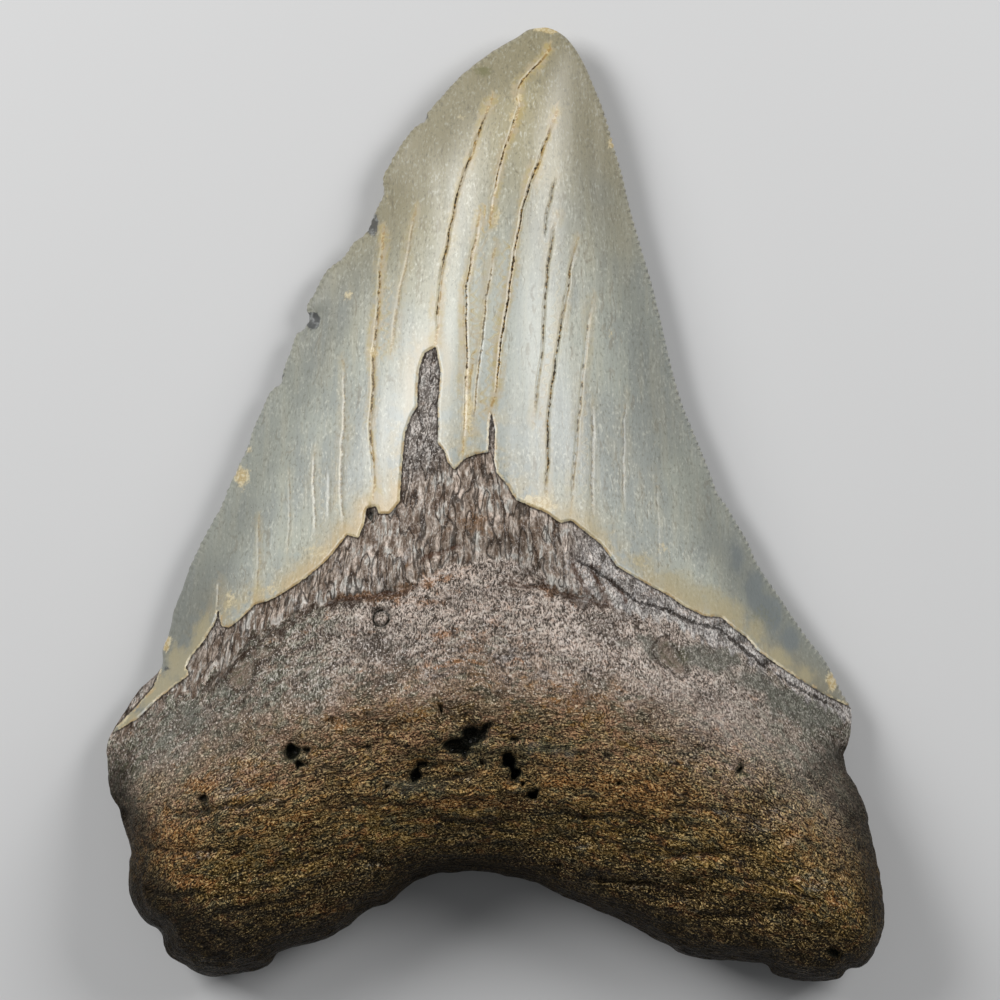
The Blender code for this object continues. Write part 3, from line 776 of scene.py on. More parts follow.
# %% Heights of both faces
upper_gap, upper_near = nearest(upper_flat, outline)
lower_gap, lower_near = nearest(lower_flat, outline)
measures = measure_upper(upper_flat)
upper_z = edge_height(upper_flat)
upper_z += (upper_rise(upper_flat) + upper_detail(upper_flat, measures)) * rounding(upper_flat, upper_gap)
beside_edge = np.clip(1 - upper_gap / 0.9, 0, 1) * (1 - rootness(upper_flat, reach=6, early=0.45))
upper_z += beside_edge * 0.05 * np.cos(2 * np.pi * phase[chosen][upper_near])
lower_z = lower_height(lower_flat, lower_gap)
shared = len(outline)
lower_z[:shared] = upper_z[:shared]
print("highest point:", round(float(upper_z.max()), 1), "mm")

# %% [markdown]
# ## Rough bone
#
# Heights alone can't roughen the root's steep sides, so the last roughness is pushed out along the surface's own
# normals, on the root only. The three resting spots are left alone, so that the tooth still lies flat.


# %% Sewing and roughening
def sew():
    """All points and triangles of the closed mesh, in mm."""
    points = np.vstack([np.column_stack([upper_flat, upper_z]), np.column_stack([lower_flat, lower_z])[shared:]])
    moved = np.where(lower_triangles < shared, lower_triangles, lower_triangles + len(upper_flat) - shared)
    return points, np.vstack([upper_triangles, moved[:, ::-1]])


def normals_of(points, triangles):
    """Unit normals at the points."""
    corner = points[triangles]
    facing = np.cross(corner[:, 1] - corner[:, 0], corner[:, 2] - corner[:, 0])
    total = np.zeros_like(points)
    for index in range(3):
        np.add.at(total, triangles[:, index], facing)
    return total / np.linalg.norm(total, axis=1)[:, None]


def roughness_at(point):
    """Uneven bone, in mm: lumps of a few millimetres with finer ones on them."""
    x, y, z = point
    lumps = noise.noise((x / 2.6, y / 1.7, z / 1.7))
    grains = noise.noise((x / 0.95, y / 0.75, z / 0.75 + 40))
    return 0.20 * lumps + 0.09 * grains


points, triangles = sew()
on_root = rootness(points[:, :2], reach=7, early=0.15)
steady = smooth(points[:, 2] / 1.2)
push = np.array([roughness_at(point) for point in points]) * on_root * steady
points = points + normals_of(points, triangles) * push[:, None]
points[:, 2] = np.maximum(points[:, 2], 0)
points[:, :2] -= (base_outline.max(axis=0) + base_outline.min(axis=0)) / 2
print("mesh:", len(points), "points,", len(triangles), "triangles")

# %% [markdown]
# ## Stains and chips
#
# Years in iron-rich mud and a knock or two have left marks that are all in one place: cream spots where the enamel
# is chipped or stained, a honey-tan band along its base, a blue-grey shade inside the right edge, olive spots and
# dark chips. The collar has pale chunks and the root has tan hollows, rust on its swellings, grey film in its folds
# and verdigris round its pits. Dark patches low down and at the lobes' edges are partly dark stains and partly
# painted shade. They could be painted on by hand. Here each is a soft patch on the drawing, and noise in the material
# breaks up its edge later, so a patch says where a colour is likely.

# %% Where the stains are
# For each kind: drawing column and row, half width and half height in steps, strength.
STAINS = {
    "cream": [
        (551, 28, 17, 4, 1.3), (519, 100, 4, 10, 0.8), (512, 117, 6, 8, 0.75), (507, 142, 4, 12, 0.4),
        (496, 222, 6, 14, 0.6), (461, 117, 8, 6, 0.5), (536, 165, 4, 10, 0.6), (348, 295, 6, 7, 0.7),
        (609, 335, 5, 8, 0.5), (661, 547, 7, 6, 0.6), (241, 477, 7, 12, 1.1), (248, 450, 5, 8, 0.6),
        (165, 645, 4, 7, 1.3), (610, 141, 4, 6, 1.1), (831, 682, 6, 10, 1.3), (374, 352, 5, 6, 1.1),
        (467, 372, 5, 6, 0.8), (468, 412, 7, 24, 0.8), (528, 500, 14, 8, 0.7), (545, 506, 14, 8, 0.7),
        (640, 560, 16, 10, 0.5), (388, 196, 4, 10, 0.4), (425, 400, 5, 40, 0.5), (230, 600, 9, 16, 0.6),
        (320, 550, 20, 9, 0.5), (270, 588, 18, 10, 0.5)],
    "pale": [
        (580, 568, 5, 7, 1.2), (588, 581, 5, 8, 1.2), (603, 582, 5, 6, 1.2), (611, 593, 5, 8, 1.2),
        (565, 562, 4, 8, 0.9), (409, 552, 7, 13, 0.7), (622, 574, 14, 6, 0.7), (650, 592, 16, 6, 0.8),
        (682, 611, 16, 6, 0.8), (712, 621, 14, 5, 0.8), (742, 642, 14, 6, 0.8), (772, 668, 16, 6, 0.8),
        (800, 688, 16, 6, 0.8), (250, 628, 14, 10, 0.5), (300, 596, 16, 10, 0.5), (345, 566, 14, 12, 0.5),
        (380, 540, 10, 14, 0.4), (465, 490, 8, 14, 0.4)],
    "olive": [
        (762, 616, 22, 20, 0.45), (484, 71, 8, 7, 1.0), (545, 72, 5, 5, 0.35), (540, 140, 6, 5, 0.3),
        (268, 500, 8, 30, 0.25)],
    "chip": [
        (310, 320, 8, 10, 1.3), (373, 223, 5, 15, 0.9), (426, 116, 3, 4, 0.9), (281, 378, 3, 6, 0.5),
        (166, 668, 5, 5, 0.7)],
    "shade": [
        (756, 590, 12, 20, 1.1), (773, 615, 12, 18, 1.2), (791, 640, 10, 16, 1.1), (735, 556, 10, 22, 0.8),
        (712, 510, 8, 30, 0.35), (300, 330, 12, 14, 0.4)],
    "honey": [
        (640, 560, 14, 12, 0.7), (670, 576, 18, 13, 0.8), (700, 594, 20, 13, 0.9), (728, 610, 18, 14, 0.9),
        (753, 634, 16, 15, 0.9), (780, 656, 16, 13, 0.9), (806, 674, 16, 11, 0.9), (342, 540, 10, 10, 0.5),
        (300, 572, 20, 10, 0.6), (262, 590, 14, 12, 0.6), (232, 606, 14, 14, 0.6), (204, 636, 12, 24, 1.1),
        (180, 664, 16, 18, 1.3), (158, 694, 22, 15, 1.3), (126, 722, 18, 12, 1.3), (468, 440, 16, 14, 0.5)],
    "film": [
        (690, 655, 44, 16, 0.9), (640, 640, 26, 12, 0.5), (722, 657, 18, 9, 0.8), (752, 680, 24, 12, 1.1),
        (786, 700, 24, 13, 1.3), (820, 717, 22, 14, 1.3), (190, 712, 30, 14, 0.7), (160, 740, 30, 16, 0.6),
        (230, 690, 24, 10, 0.5), (560, 744, 46, 9, 0.6), (420, 780, 34, 10, 0.7)],
    "tan": [
        (240, 678, 12, 11, 0.8), (248, 667, 11, 10, 0.8), (266, 651, 16, 8, 0.7), (659, 643, 9, 9, 0.7),
        (667, 655, 11, 10, 0.9), (677, 667, 9, 8, 0.7)],
    "rust": [
        (455, 797, 55, 9, 1.1), (520, 800, 25, 7, 0.8), (250, 775, 60, 14, 0.7), (175, 840, 35, 36, 0.8),
        (560, 765, 40, 26, 0.5), (640, 790, 60, 25, 0.9), (580, 700, 50, 18, 0.5), (380, 720, 60, 18, 0.5),
        (300, 850, 60, 16, 0.5), (200, 880, 40, 12, 0.6), (690, 850, 50, 16, 0.4), (330, 905, 34, 9, 0.8),
        (780, 840, 60, 26, 0.3), (204, 781, 12, 5, 1.0), (470, 640, 50, 22, 0.5), (430, 580, 40, 14, 0.6),
        (560, 590, 46, 9, 0.7), (370, 596, 50, 6, 0.8), (480, 520, 30, 18, 0.5)],
    "verdigris": [
        (468, 742, 42, 18, 1.0), (424, 780, 35, 12, 0.9), (516, 766, 18, 22, 0.8), (301, 751, 17, 12, 1.0),
        (226, 832, 20, 26, 0.7), (124, 770, 16, 40, 0.6), (565, 742, 45, 11, 0.5), (400, 802, 30, 10, 0.4),
        (240, 905, 30, 12, 0.5), (736, 768, 20, 16, 0.5), (310, 936, 26, 8, 0.4), (672, 655, 16, 18, 0.5),
        (246, 671, 12, 12, 0.5), (590, 790, 30, 14, 0.4)],
    "dark_stain_and_shade": [
        (718, 622, 16, 6, 0.7), (740, 639, 14, 7, 0.9), (762, 662, 14, 6, 0.7), (786, 683, 14, 5, 0.5),
        (215, 930, 60, 34, 1.0), (150, 850, 18, 50, 0.45), (155, 890, 22, 16, 0.9), (345, 870, 25, 9, 0.5),
        (600, 866, 44, 6, 0.7), (790, 905, 44, 12, 0.5), (170, 930, 14, 20, 0.6), (490, 864, 50, 7, 0.5),
        (118, 812, 12, 10, 1.0), (852, 757, 8, 10, 0.6), (160, 905, 34, 26, 0.9), (330, 800, 40, 6, 0.4),
        (680, 800, 60, 5, 0.4), (740, 880, 60, 6, 0.5), (260, 905, 60, 6, 0.5), (124, 712, 12, 14, 0.6)]}
print("stains:", {kind: len(rows) for kind, rows in STAINS.items()})

# %% [markdown]
# ## Measures for the material
#
# The material needs to know where the enamel ends, where a crack runs and how deep a pit is. The mesh carries
# these as point attributes. A painted picture could hold them too, but attributes come straight from the same
# lines as the shape, so colour and form can never slip apart. Distances are stored, and not finished masks,
# because a distance stays exact between two mesh points and a mask doesn't.

# %% The underside's own border
UNDERSIDE_BORDER = [
    (96, 746), (150, 726), (210, 700), (290, 668), (380, 645), (480, 636), (580, 640), (680, 655), (760, 678),
    (836, 702), (862, 712)]
under_border = evenly(drawn(UNDERSIDE_BORDER), 0.3)
under_loop = np.vstack([drawn(UNDERSIDE_BORDER), AROUND_THE_TIP])
under_gap, _ = nearest(lower_flat, under_border)
under_enamel = np.where(is_inside(lower_flat, under_loop), under_gap, -under_gap)


def whole(upper_values, lower_values):
    """One attribute for all points: the upper face's, then the lower face's without the shared outline."""
    lower_values = np.broadcast_to(lower_values, len(lower_flat))
    return np.concatenate([upper_values, lower_values[shared:]])


FAR = 9.0                      # mm, stands for no such line near
attributes = {
    "enamel": whole(measures["enamel"], under_enamel),
    "edge": whole(upper_gap, lower_gap),
    "serration": whole(phase[chosen][upper_near], phase[chosen][lower_near]),
    "crack": whole(np.minimum(measures["crack_gap"], FAR), FAR),
    "crack_side": whole(np.clip(measures["crack_side"], -FAR, FAR), FAR),
    "crack_dark": whole(measures["crack_dark"], 0.0),
    "crack_tan": whole(measures["crack_tan"], 0.0),
    "over_ledge": whole(measures["over_ledge"], -FAR),
    "ledge_dark": whole(ledge_strength(measures["ledge_place"]), 0.0),
    "split": whole(measures["split_gap"], FAR),
    "pit": whole(measures["pit"], 0.0),
    "crease": whole(np.minimum(measures["crease_gap"], FAR), FAR),
    "rocky": whole(measures["rocky"], 0.0),
    "below": whole(-above_line(upper_flat, collar_line), -above_line(lower_flat, collar_line))}
stain_shake = np.column_stack([wander(upper_flat, 2.0, 81.0), wander(upper_flat, 2.0, 91.0)]) * 0.5
for kind, rows in STAINS.items():
    attributes[kind] = whole(np.minimum(bumps(upper_flat + stain_shake, rows), 1.3), 0.0)
print("attributes:", ", ".join(attributes))


# %% The mesh object
def make_object(name, points, triangles, attributes):
    """A smooth-shaded mesh object in metres with its point attributes."""
    mesh = bpy.data.meshes.new(name)
    mesh.from_pydata((points * MM).tolist(), [], triangles.tolist())
    for label, values in attributes.items():
        layer = mesh.attributes.new(label, "FLOAT", "POINT")
        layer.data.foreach_set("value", np.asarray(values, dtype=np.float32))
    mesh.shade_smooth()
    mesh.update()
    made = bpy.data.objects.new(name, mesh)
    bpy.context.collection.objects.link(made)
    return made


tooth = make_object("tooth_detailed", points, triangles, attributes)
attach(tooth, "root")
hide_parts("tooth")
print("size, mm:", [round(value / MM, 1) for value in tooth.dimensions])

# %% [markdown]
# ## Shader sums
#
# A material that changes over a surface is a long sum, and a sum is easiest to read as a sum. This small class
# wraps one socket of a node, and writing a + b with it adds the Math node. Everything that isn't a sum comes from
# the one method `node`, which takes the node's type, its settings and what goes into its sockets.


# %% A socket that can be used in sums
class Socket:
    """One output of a shader node, which works in ordinary arithmetic."""
    tree = None

    def __init__(self, output):
        self.output = output

    @classmethod
    def node(cls, kind, settings=None, inputs=None, output=0):
        """Adds a node. Settings come first, then the values or links of its sockets."""
        made = cls.tree.nodes.new(kind)
        for name, value in (settings or {}).items():
            setattr(made, name, value)
        for name, value in (inputs or {}).items():
            cls.feed(made.inputs[name], value)
        return cls(made.outputs[output])

    @classmethod
    def feed(cls, target, value):
        """Links a socket or sets a plain value."""
        if isinstance(value, Socket):
            cls.tree.links.new(value.output, target)
        else:
            target.default_value = value

    def also(self, output):
        """Another output of the same node."""
        return Socket(self.output.node.outputs[output])

    @staticmethod
    def sum(operation, first, second):
        return Socket.node("ShaderNodeMath", {"operation": operation}, {0: first, 1: second})

    def __add__(self, other):
        return self.sum("ADD", self, other)

    def __radd__(self, other):
        return self.sum("ADD", other, self)

    def __sub__(self, other):
        return self.sum("SUBTRACT", self, other)

    def __rsub__(self, other):
        return self.sum("SUBTRACT", other, self)

    def __mul__(self, other):
        return self.sum("MULTIPLY", self, other)

    def __rmul__(self, other):
        return self.sum("MULTIPLY", other, self)

    def __abs__(self):
        return Socket.node("ShaderNodeMath", {"operation": "ABSOLUTE"}, {0: self})


# %% The few helpers that the material reads in
def between(value, low, high):
    """0 where the value is at low, 1 where it is at high, and an S curve between them."""
    if low > high:
        return 1 - between(value, high, low)
    return Socket.node("ShaderNodeMapRange", {"interpolation_type": "SMOOTHSTEP"},
                       {"Value": value, "From Min": low, "From Max": high})


def mixed(factor, first, second, mode="MIX"):
    """A colour between two colours."""
    colours = {6: first, 7: second}
    for key, colour in colours.items():
        if not isinstance(colour, Socket):
            colours[key] = (*colour, 1)
    return Socket.node("ShaderNodeMix", {"data_type": "RGBA", "blend_type": mode}, {0: factor, **colours}, 2)


def layered(base, *layers):
    """Colours laid over a base one after another. Each layer is the mask that says where it shows, and its colour."""
    for mask, colour in layers:
        base = mixed(mask, base, colour)
    return base


def larger(first, second):
    """The larger of two numbers, which joins two masks."""
    return Socket.sum("MAXIMUM", first, second)


def measure(name):
    """One of the mesh's own attributes."""
    return Socket.node("ShaderNodeAttribute", {"attribute_name": name}, output=2)


def stain(kind, shake, amount, low, high):
    """Where one kind of stain shows: its patch, with an edge that noise has broken up."""
    return between(measure(kind) + (shake - 0.5) * amount, low, high)


def stretched(place, factors):
    """The place multiplied by three numbers, for grain that is longer one way."""
    return Socket.node("ShaderNodeVectorMath", {"operation": "MULTIPLY"}, {0: place, 1: factors})


def speckle(place, scale=1.0, detail=2.0, rough=0.5):
    """Fractal noise around 0.5. Scale is in patches per millimetre."""
    return Socket.node("ShaderNodeTexNoise", {"normalize": True},
                       {"Vector": place, "Scale": scale, "Detail": detail, "Roughness": rough})


def shaken(place, scale, amount):
    """The place pushed about by noise, so that nothing keeps a clean shape."""
    push = Socket.node("ShaderNodeTexNoise", {}, {"Vector": place, "Scale": scale, "Detail": 1.0}, output=1)
    return Socket.node("ShaderNodeVectorMath", {"operation": "MULTIPLY_ADD"},
                       {0: push, 1: (amount, amount, amount), 2: place})


def wormlines(noise_value, width):
    """1 on the thin winding lines where a noise crosses its middle."""
    return between(abs(noise_value - 0.5), width, width * 0.25)


tooth_material = bpy.data.materials.new("fossil enamel and bone")
tooth_material.use_nodes = True
Socket.tree = tooth_material.node_tree
metres = Socket.node("ShaderNodeTexCoord", output=3)
place = Socket.node("ShaderNodeVectorMath", {"operation": "SCALE"}, {0: metres, "Scale": 1 / MM})
across = Socket.node("ShaderNodeSeparateXYZ", inputs={0: place})
along = across.also(1)
wavy = shaken(place, 0.45, 1.3)
print("material:", tooth_material.name)

# %% [markdown]
# ## Enamel
#
# Fossil enamel takes its colour from the mud it lay in, here a pale grey-green that turns grey on the flanks and
# tan towards the tip and along the base. It has fine lengthwise streaks, a peel like an orange's with painted glints
# and painted shade on its bumps, and small dark specks. Its thick middle is lighter with a painted sheen. Towards
# the cutting edge it darkens, partly in its own colour and partly with painted shade where the dome slopes down,
# and each serration gets a painted highlight on its rounded tooth and painted shade in its notch. The colours are
# mixed in layers, from the broadest patch to the finest speck.

# %% Enamel colour
enamel_gap = measure("enamel")
edge_gap = measure("edge")
serration_phase = measure("serration")
streak = speckle(stretched(place, (0.9, 0.035, 0.3)), detail=2.0)
hair_streak = speckle(stretched(place, (3.2, 0.16, 1.0)), detail=2.0, rough=0.65)
peel = speckle(stretched(place, (3.4, 1.5, 2.4)), detail=1.0, rough=0.65)
cloud = speckle(place, 0.07, detail=2.0)
mottle = speckle(place, 0.5, detail=3.0, rough=0.65)
fine_speck = speckle(place, 3.2, detail=1.0, rough=0.7)
hairline = wormlines(speckle(stretched(wavy, (0.55, 0.020, 0.2)), detail=1.0), 0.016)

GREY_GREEN = (0.41, 0.43, 0.365)
FLANK_GREY = (0.33, 0.35, 0.32)
WARM_GREY = (0.46, 0.43, 0.33)
TIP_TAN = (0.40, 0.350, 0.215)
BASE_TAN = (0.44, 0.375, 0.235)
CREAM = (0.62, 0.53, 0.33)
EDGE_DARK = (0.105, 0.110, 0.092)
TIP_DARK = (0.110, 0.098, 0.058)
STREAK_PALE = (0.60, 0.60, 0.52)
STREAK_DARK = (0.22, 0.21, 0.17)
PEEL_GLINT = (0.70, 0.70, 0.60)
PEEL_SHADE = (0.17, 0.165, 0.12)
SPECK_DARK = (0.08, 0.07, 0.05)
GOLD_LEFT = (0.50, 0.355, 0.165)
GOLD_RIGHT = (0.42, 0.34, 0.185)
MIDDLE_SHEEN_GREY = (0.56, 0.585, 0.54)
HAIRLINE_BROWN = (0.20, 0.165, 0.105)

tip_warmth = between(along + cloud * 30 - across * 0.2, 34.0, 66.0)
near_base = between(enamel_gap + mottle * 3.0 + streak * 4.0, 8.2, 3.6)
golden = between(enamel_gap + mottle * 2.2, 3.6, 1.5) * between(cloud + streak * 0.6, 0.72, 0.86)
# Painted sheen: the dome's thick middle is lightened where the lamps' broad sheen falls on it.
thick_middle_and_sheen = between(edge_gap + streak * 3.0, 12.5, 18.0) * between(along, 44.0, 24.0) * between(along, 3.0, 14.0)
hairline = hairline * between(mottle, 0.44, 0.54) * between(enamel_gap, 1.0, 4.0)
# The peel's glints are painted highlights and its dark spots are painted shade on its small bumps.
enamel_colour = layered(
    mixed(between(cloud + streak * 0.5, 0.62, 0.95), FLANK_GREY, GREY_GREEN),
    (between(streak + mottle * 0.4, 0.62, 0.95) * 0.4, WARM_GREY),
    (tip_warmth * 0.9, TIP_TAN),
    (near_base * between(mottle + cloud * 0.5, 0.58, 0.84) * 0.9, BASE_TAN),
    (between(hair_streak, 0.56, 0.76) * 0.30, STREAK_PALE),
    (between(hair_streak, 0.44, 0.28) * 0.30, STREAK_DARK),
    (between(peel, 0.54, 0.70) * between(mottle, 0.36, 0.58) * 0.50, PEEL_GLINT),
    (between(peel, 0.43, 0.28) * 0.50, PEEL_SHADE),
    (between(fine_speck, 0.29, 0.20) * 0.7, SPECK_DARK),
    (golden * 0.60, mixed(between(across, 2.0, 10.0), GOLD_LEFT, GOLD_RIGHT)),
    (thick_middle_and_sheen * 0.45, MIDDLE_SHEEN_GREY),
    (hairline * 0.40, HAIRLINE_BROWN))
print("enamel colours mixed")

# %% The cutting edge
edge_noise = speckle(place, 1.4, detail=1.0, rough=0.6)
# Darker towards the cutting edges: partly the enamel's own darker edge, partly painted shade where the dome slopes
# down.
flank_tone_and_shade = between(edge_gap + cloud * 5.0, 11.5, 5.5) * (0.46 + between(along, 8.0, -14.0) * 0.26)
turn = (serration_phase + edge_noise * 0.5) * (2 * np.pi)
rib = Socket.node("ShaderNodeMath", {"operation": "COSINE"}, {0: turn})
broken_base = between(along, -6.0, -10.0) * between(across, -30.0, -34.0)
left_of_tip = between(across - along * 0.62, -14.0, -22.0)
serrated_zone = between(edge_gap + edge_noise * 1.4, 1.65, 0.75) * (1 - broken_base) * (1 - left_of_tip * 0.5)
# Painted shade in the notches between serrations, in patches, and a painted highlight on each rounded tooth.
notch_shade_patches = between(edge_noise, 0.36, 0.56)
NOTCH_SHADE = (0.05, 0.05, 0.04)
SERRATION_HIGHLIGHT = (0.50, 0.49, 0.40)
enamel_colour = layered(
    enamel_colour,
    (flank_tone_and_shade, mixed(tip_warmth, EDGE_DARK, TIP_DARK)),
    (serrated_zone * between(rib, 0.55, 0.95) * notch_shade_patches * 0.75, NOTCH_SHADE),
    (serrated_zone * between(rib, -0.2, -0.9) * 0.35, SERRATION_HIGHLIGHT))
print("cutting edge darkened")

# %% [markdown]
# ## Cracks and stains
#
# Iron and mud crept into the cracks, so each has a dark brown core and a gold or cream rim that fades outwards.
# Where the cracks are worst the tan spreads into the enamel beside them, more to one side than to the other. A
# ready-made picture of a crack would repeat, so the stain comes from the signed distance to the crack's own line.
# Noise breaks the darkness along it, because the dirt has fallen out in places.

# %% Cracks in the enamel
crack_gap = measure("crack")
crack_dark = measure("crack_dark")
crack_tan = measure("crack_tan")
crumble = speckle(place, 1.7, detail=2.0, rough=0.75)
break_up = speckle(place, 0.9, detail=1.0, rough=0.6)
bead = speckle(place, 2.6, detail=1.0)
RUST_TAN = (0.33, 0.20, 0.055)
FILM_TAN = (0.45, 0.37, 0.235)
CRACK_BROWN = (0.032, 0.022, 0.009)
FILM_GOLD = (0.43, 0.34, 0.15)
RIM_CREAM = (0.56, 0.45, 0.24)
WALL_LIGHT = (0.66, 0.62, 0.47)
crack_side = measure("crack_side")
stain_run = speckle(stretched(place, (0.5, 0.07, 0.3)), detail=1.0)


def beside_crack(shift):
    """Distance from a line that wanders to both sides of a crack."""
    return abs(crack_side + (stain_run - 0.5) * shift)


wide_rim = between(beside_crack(3.0) + crumble * 1.6, 2.0, 0.9) * between(crack_gap, 1.5, 0.8) * crack_tan
close_rim = between(beside_crack(1.1) + crumble * 0.4, 0.50, 0.24) * between(crack_gap, 0.8, 0.5) * crack_tan
close_rim = close_rim * between(break_up, 0.36, 0.52)
# Painted highlight along one wall of each crack.
lit_wall = between(crack_side, -0.42, -0.24) * between(crack_side, -0.06, -0.16) * crack_dark
core = between(crack_gap + (crumble - 0.5) * 0.56, 0.15, 0.04) * between(crack_dark, 0.0, 0.9)
core = core * between(stain_run + (break_up - 0.5) * 0.9, 0.34, 0.50)
enamel_colour = layered(
    enamel_colour,
    (wide_rim * 0.80, mixed(between(break_up, 0.44, 0.60), FILM_TAN, FILM_GOLD)),
    (close_rim * 0.80, mixed(between(bead, 0.50, 0.62), RUST_TAN, RIM_CREAM)),
    (lit_wall * between(break_up, 0.40, 0.52) * 0.6, WALL_LIGHT),
    (core, mixed(between(bead, 0.52, 0.66), CRACK_BROWN, RUST_TAN)))
print("cracks stained")

# %% Stains and chips in the enamel
CREAM_BROWN = (0.46, 0.33, 0.13)
HONEY_TAN = (0.37, 0.315, 0.175)
SHADE_BLUE = (0.125, 0.145, 0.150)
OLIVE = (0.14, 0.135, 0.055)
CHIP_DARK = (0.030, 0.032, 0.036)
CHIP_GREY = (0.22, 0.23, 0.23)
BASE_BROWN = (0.42, 0.29, 0.13)
cream_mask = stain("cream", crumble, 1.3, 0.30, 0.75)
honey_mask = between(measure("honey") + (mottle - 0.5) * 0.9 + (streak - 0.5) * 0.9, 0.25, 0.90)
shade_mask = between(measure("shade") + (mottle - 0.5) * 0.8 + (streak - 0.5) * 0.8, 0.20, 0.90)
olive_mask = stain("olive", crumble, 0.9, 0.25, 0.80)
chip_mask = stain("chip", crumble, 0.5, 0.35, 0.55)
base_line = between(enamel_gap + (crumble - 0.5) * 0.9, 0.40, 0.10) * between(break_up, 0.36, 0.52)
enamel_colour = layered(
    enamel_colour,
    (cream_mask * 0.8, mixed(between(crumble, 0.40, 0.60), CREAM_BROWN, CREAM)),
    (honey_mask * 0.62, HONEY_TAN),
    (shade_mask * 0.75, SHADE_BLUE),
    (olive_mask * 0.7, OLIVE),
    (chip_mask * 0.85, mixed(between(mottle, 0.52, 0.64), CHIP_DARK, CHIP_GREY)),
    (base_line * 0.80, mixed(between(mottle, 0.44, 0.56), CREAM, BASE_BROWN)))
print("stains laid")

# %% [markdown]
# ## Bone
#
# The collar and the root are fossil bone and dentine. The collar is grey-brown, with pale twisted strands between
# dark lines. Below it the root is a mauve grey-brown, turns reddish over the swelling, and ends dark golden brown
# with level fibres near the arch. Painted shade darkens it further towards the arch, which turns away from the
# lamps, and along its left and right sides, and a painted sheen lightens it just under the ledge. All of it is a
# sandpaper of small shiny grains with dark gaps, long ways up under the collar, round in the middle, and level
# further down. The cells of a Voronoi texture could make them, but they look like pebbles. Fine fractal noise is cut
# at three heights instead: painted shade in the gaps below, light grains with some painted highlight above, and
# painted glints on the highest.


# %% Grains of the bone
def blended(share, first, second):
    """A number between two numbers."""
    return first + (second - first) * share


below = measure("below")
patch = speckle(place, 0.16, detail=2.0, rough=0.6)
blotch = speckle(place, 0.38, detail=2.0, rough=0.65)
shaken_x = Socket.node("ShaderNodeSeparateXYZ", inputs={0: wavy})
level_place = Socket.node("ShaderNodeCombineXYZ", inputs={
    0: shaken_x, 1: shaken_x.also(1) + across * across * 0.005, 2: shaken_x.also(2)})
fold = speckle(stretched(wavy, (1.00, 0.70, 0.9)), detail=1.0, rough=0.60)
half_wavy = Socket.node("ShaderNodeVectorMath", {"operation": "ADD"}, {0: place, 1: wavy})
stroke = speckle(stretched(half_wavy, (2.5, 1.25, 1.9)), detail=2.0, rough=0.62)
low_place = 0.0 - along - across * across * 0.0063
grainy = between(low_place + patch * 12, 22.0, 36.0)
grit = speckle(stretched(level_place, (3.5, 4.6, 4.0)), detail=2.0, rough=0.70)
ridge = speckle(stretched(level_place, (0.40, 1.45, 1.2)), detail=2.0, rough=0.70)
rough_patch = stroke + (fold - 0.5) * 0.34
# Painted shade in the gaps between grains, lighter grains with some painted highlight, and painted glints on the
# highest.
grain_gap_shade = blended(grainy, between(rough_patch, 0.495, 0.38), between(grit, 0.505, 0.42))
light_grain_and_highlight = blended(grainy, between(rough_patch, 0.50, 0.62), between(grit, 0.505, 0.59))
grain_glint = blended(grainy, between(rough_patch, 0.58, 0.72), between(grit, 0.555, 0.66))
# Painted glints: single bright dots.
sparkle = between(fine_speck, 0.61, 0.70)
# Painted shade in the valleys between the level ridges and a painted highlight on their crests.
valley = between(ridge, 0.49, 0.37) * grainy
crest_highlight = between(ridge, 0.52, 0.64) * grainy
print("grains made")

# %% Bone colour
MAUVE = (0.296, 0.206, 0.157)
MAUVE_GREY = (0.250, 0.212, 0.176)
GREEN_GREY = (0.190, 0.192, 0.155)
PINK_BROWN = (0.260, 0.165, 0.125)
BLUE_GREY = (0.225, 0.228, 0.235)
SALMON = (0.380, 0.205, 0.130)
TAUPE = (0.165, 0.130, 0.098)
RED_BROWN = (0.275, 0.150, 0.082)
EARTH_BROWN = (0.200, 0.136, 0.074)
GOLD_BROWN = (0.215, 0.130, 0.034)
DARK_OLIVE = (0.088, 0.060, 0.016)
RUST = (0.235, 0.105, 0.034)
VERDIGRIS = (0.096, 0.090, 0.050)
FILM_GREY = (0.150, 0.152, 0.125)
HOLLOW_TAN = (0.225, 0.170, 0.128)
DARK_STAIN_AND_SHADE = (0.014, 0.012, 0.010)
LEDGE_SHEEN = (0.420, 0.350, 0.300)
TAUPE_GREEN = (0.150, 0.150, 0.115)
ARCH_SHADE = (0.022, 0.015, 0.007)
HOLLOW_RIM_SHADE = (0.045, 0.030, 0.020)

tints = Socket.node("ShaderNodeTexNoise", {}, {
    "Vector": stretched(level_place, (0.42, 0.80, 0.7)), "Scale": 1.0, "Detail": 2.0, "Roughness": 0.65}, 1)
tint_one = Socket.node("ShaderNodeSeparateColor", inputs={0: tints})
tint_two, tint_three = tint_one.also(1), tint_one.also(2)
low_zone = (patch - 0.5) * 9 + low_place
zone = low_zone - across * across * 0.0022 - between(across, 12.0, 30.0) * 4.0
# Painted sheen on the root just under the ledge.
sheen_under_ledge = between(measure("over_ledge"), -13.0, -4.0) * between(across, -30.0, -14.0)
# Painted shade on the root's left and right sides; the greener tint there is the bone's own.
left_shade = between(across + patch * 14, -3.0, -22.0)
right_shade = between(across + patch * 10, 33.0, 44.0)
middle_colour = layered(
    mixed(between(tint_one, 0.44, 0.58), EARTH_BROWN, RED_BROWN),
    (between(tint_two, 0.52, 0.62) * 0.8, GOLD_BROWN),
    (between(tint_three, 0.54, 0.64) * 0.7, VERDIGRIS))
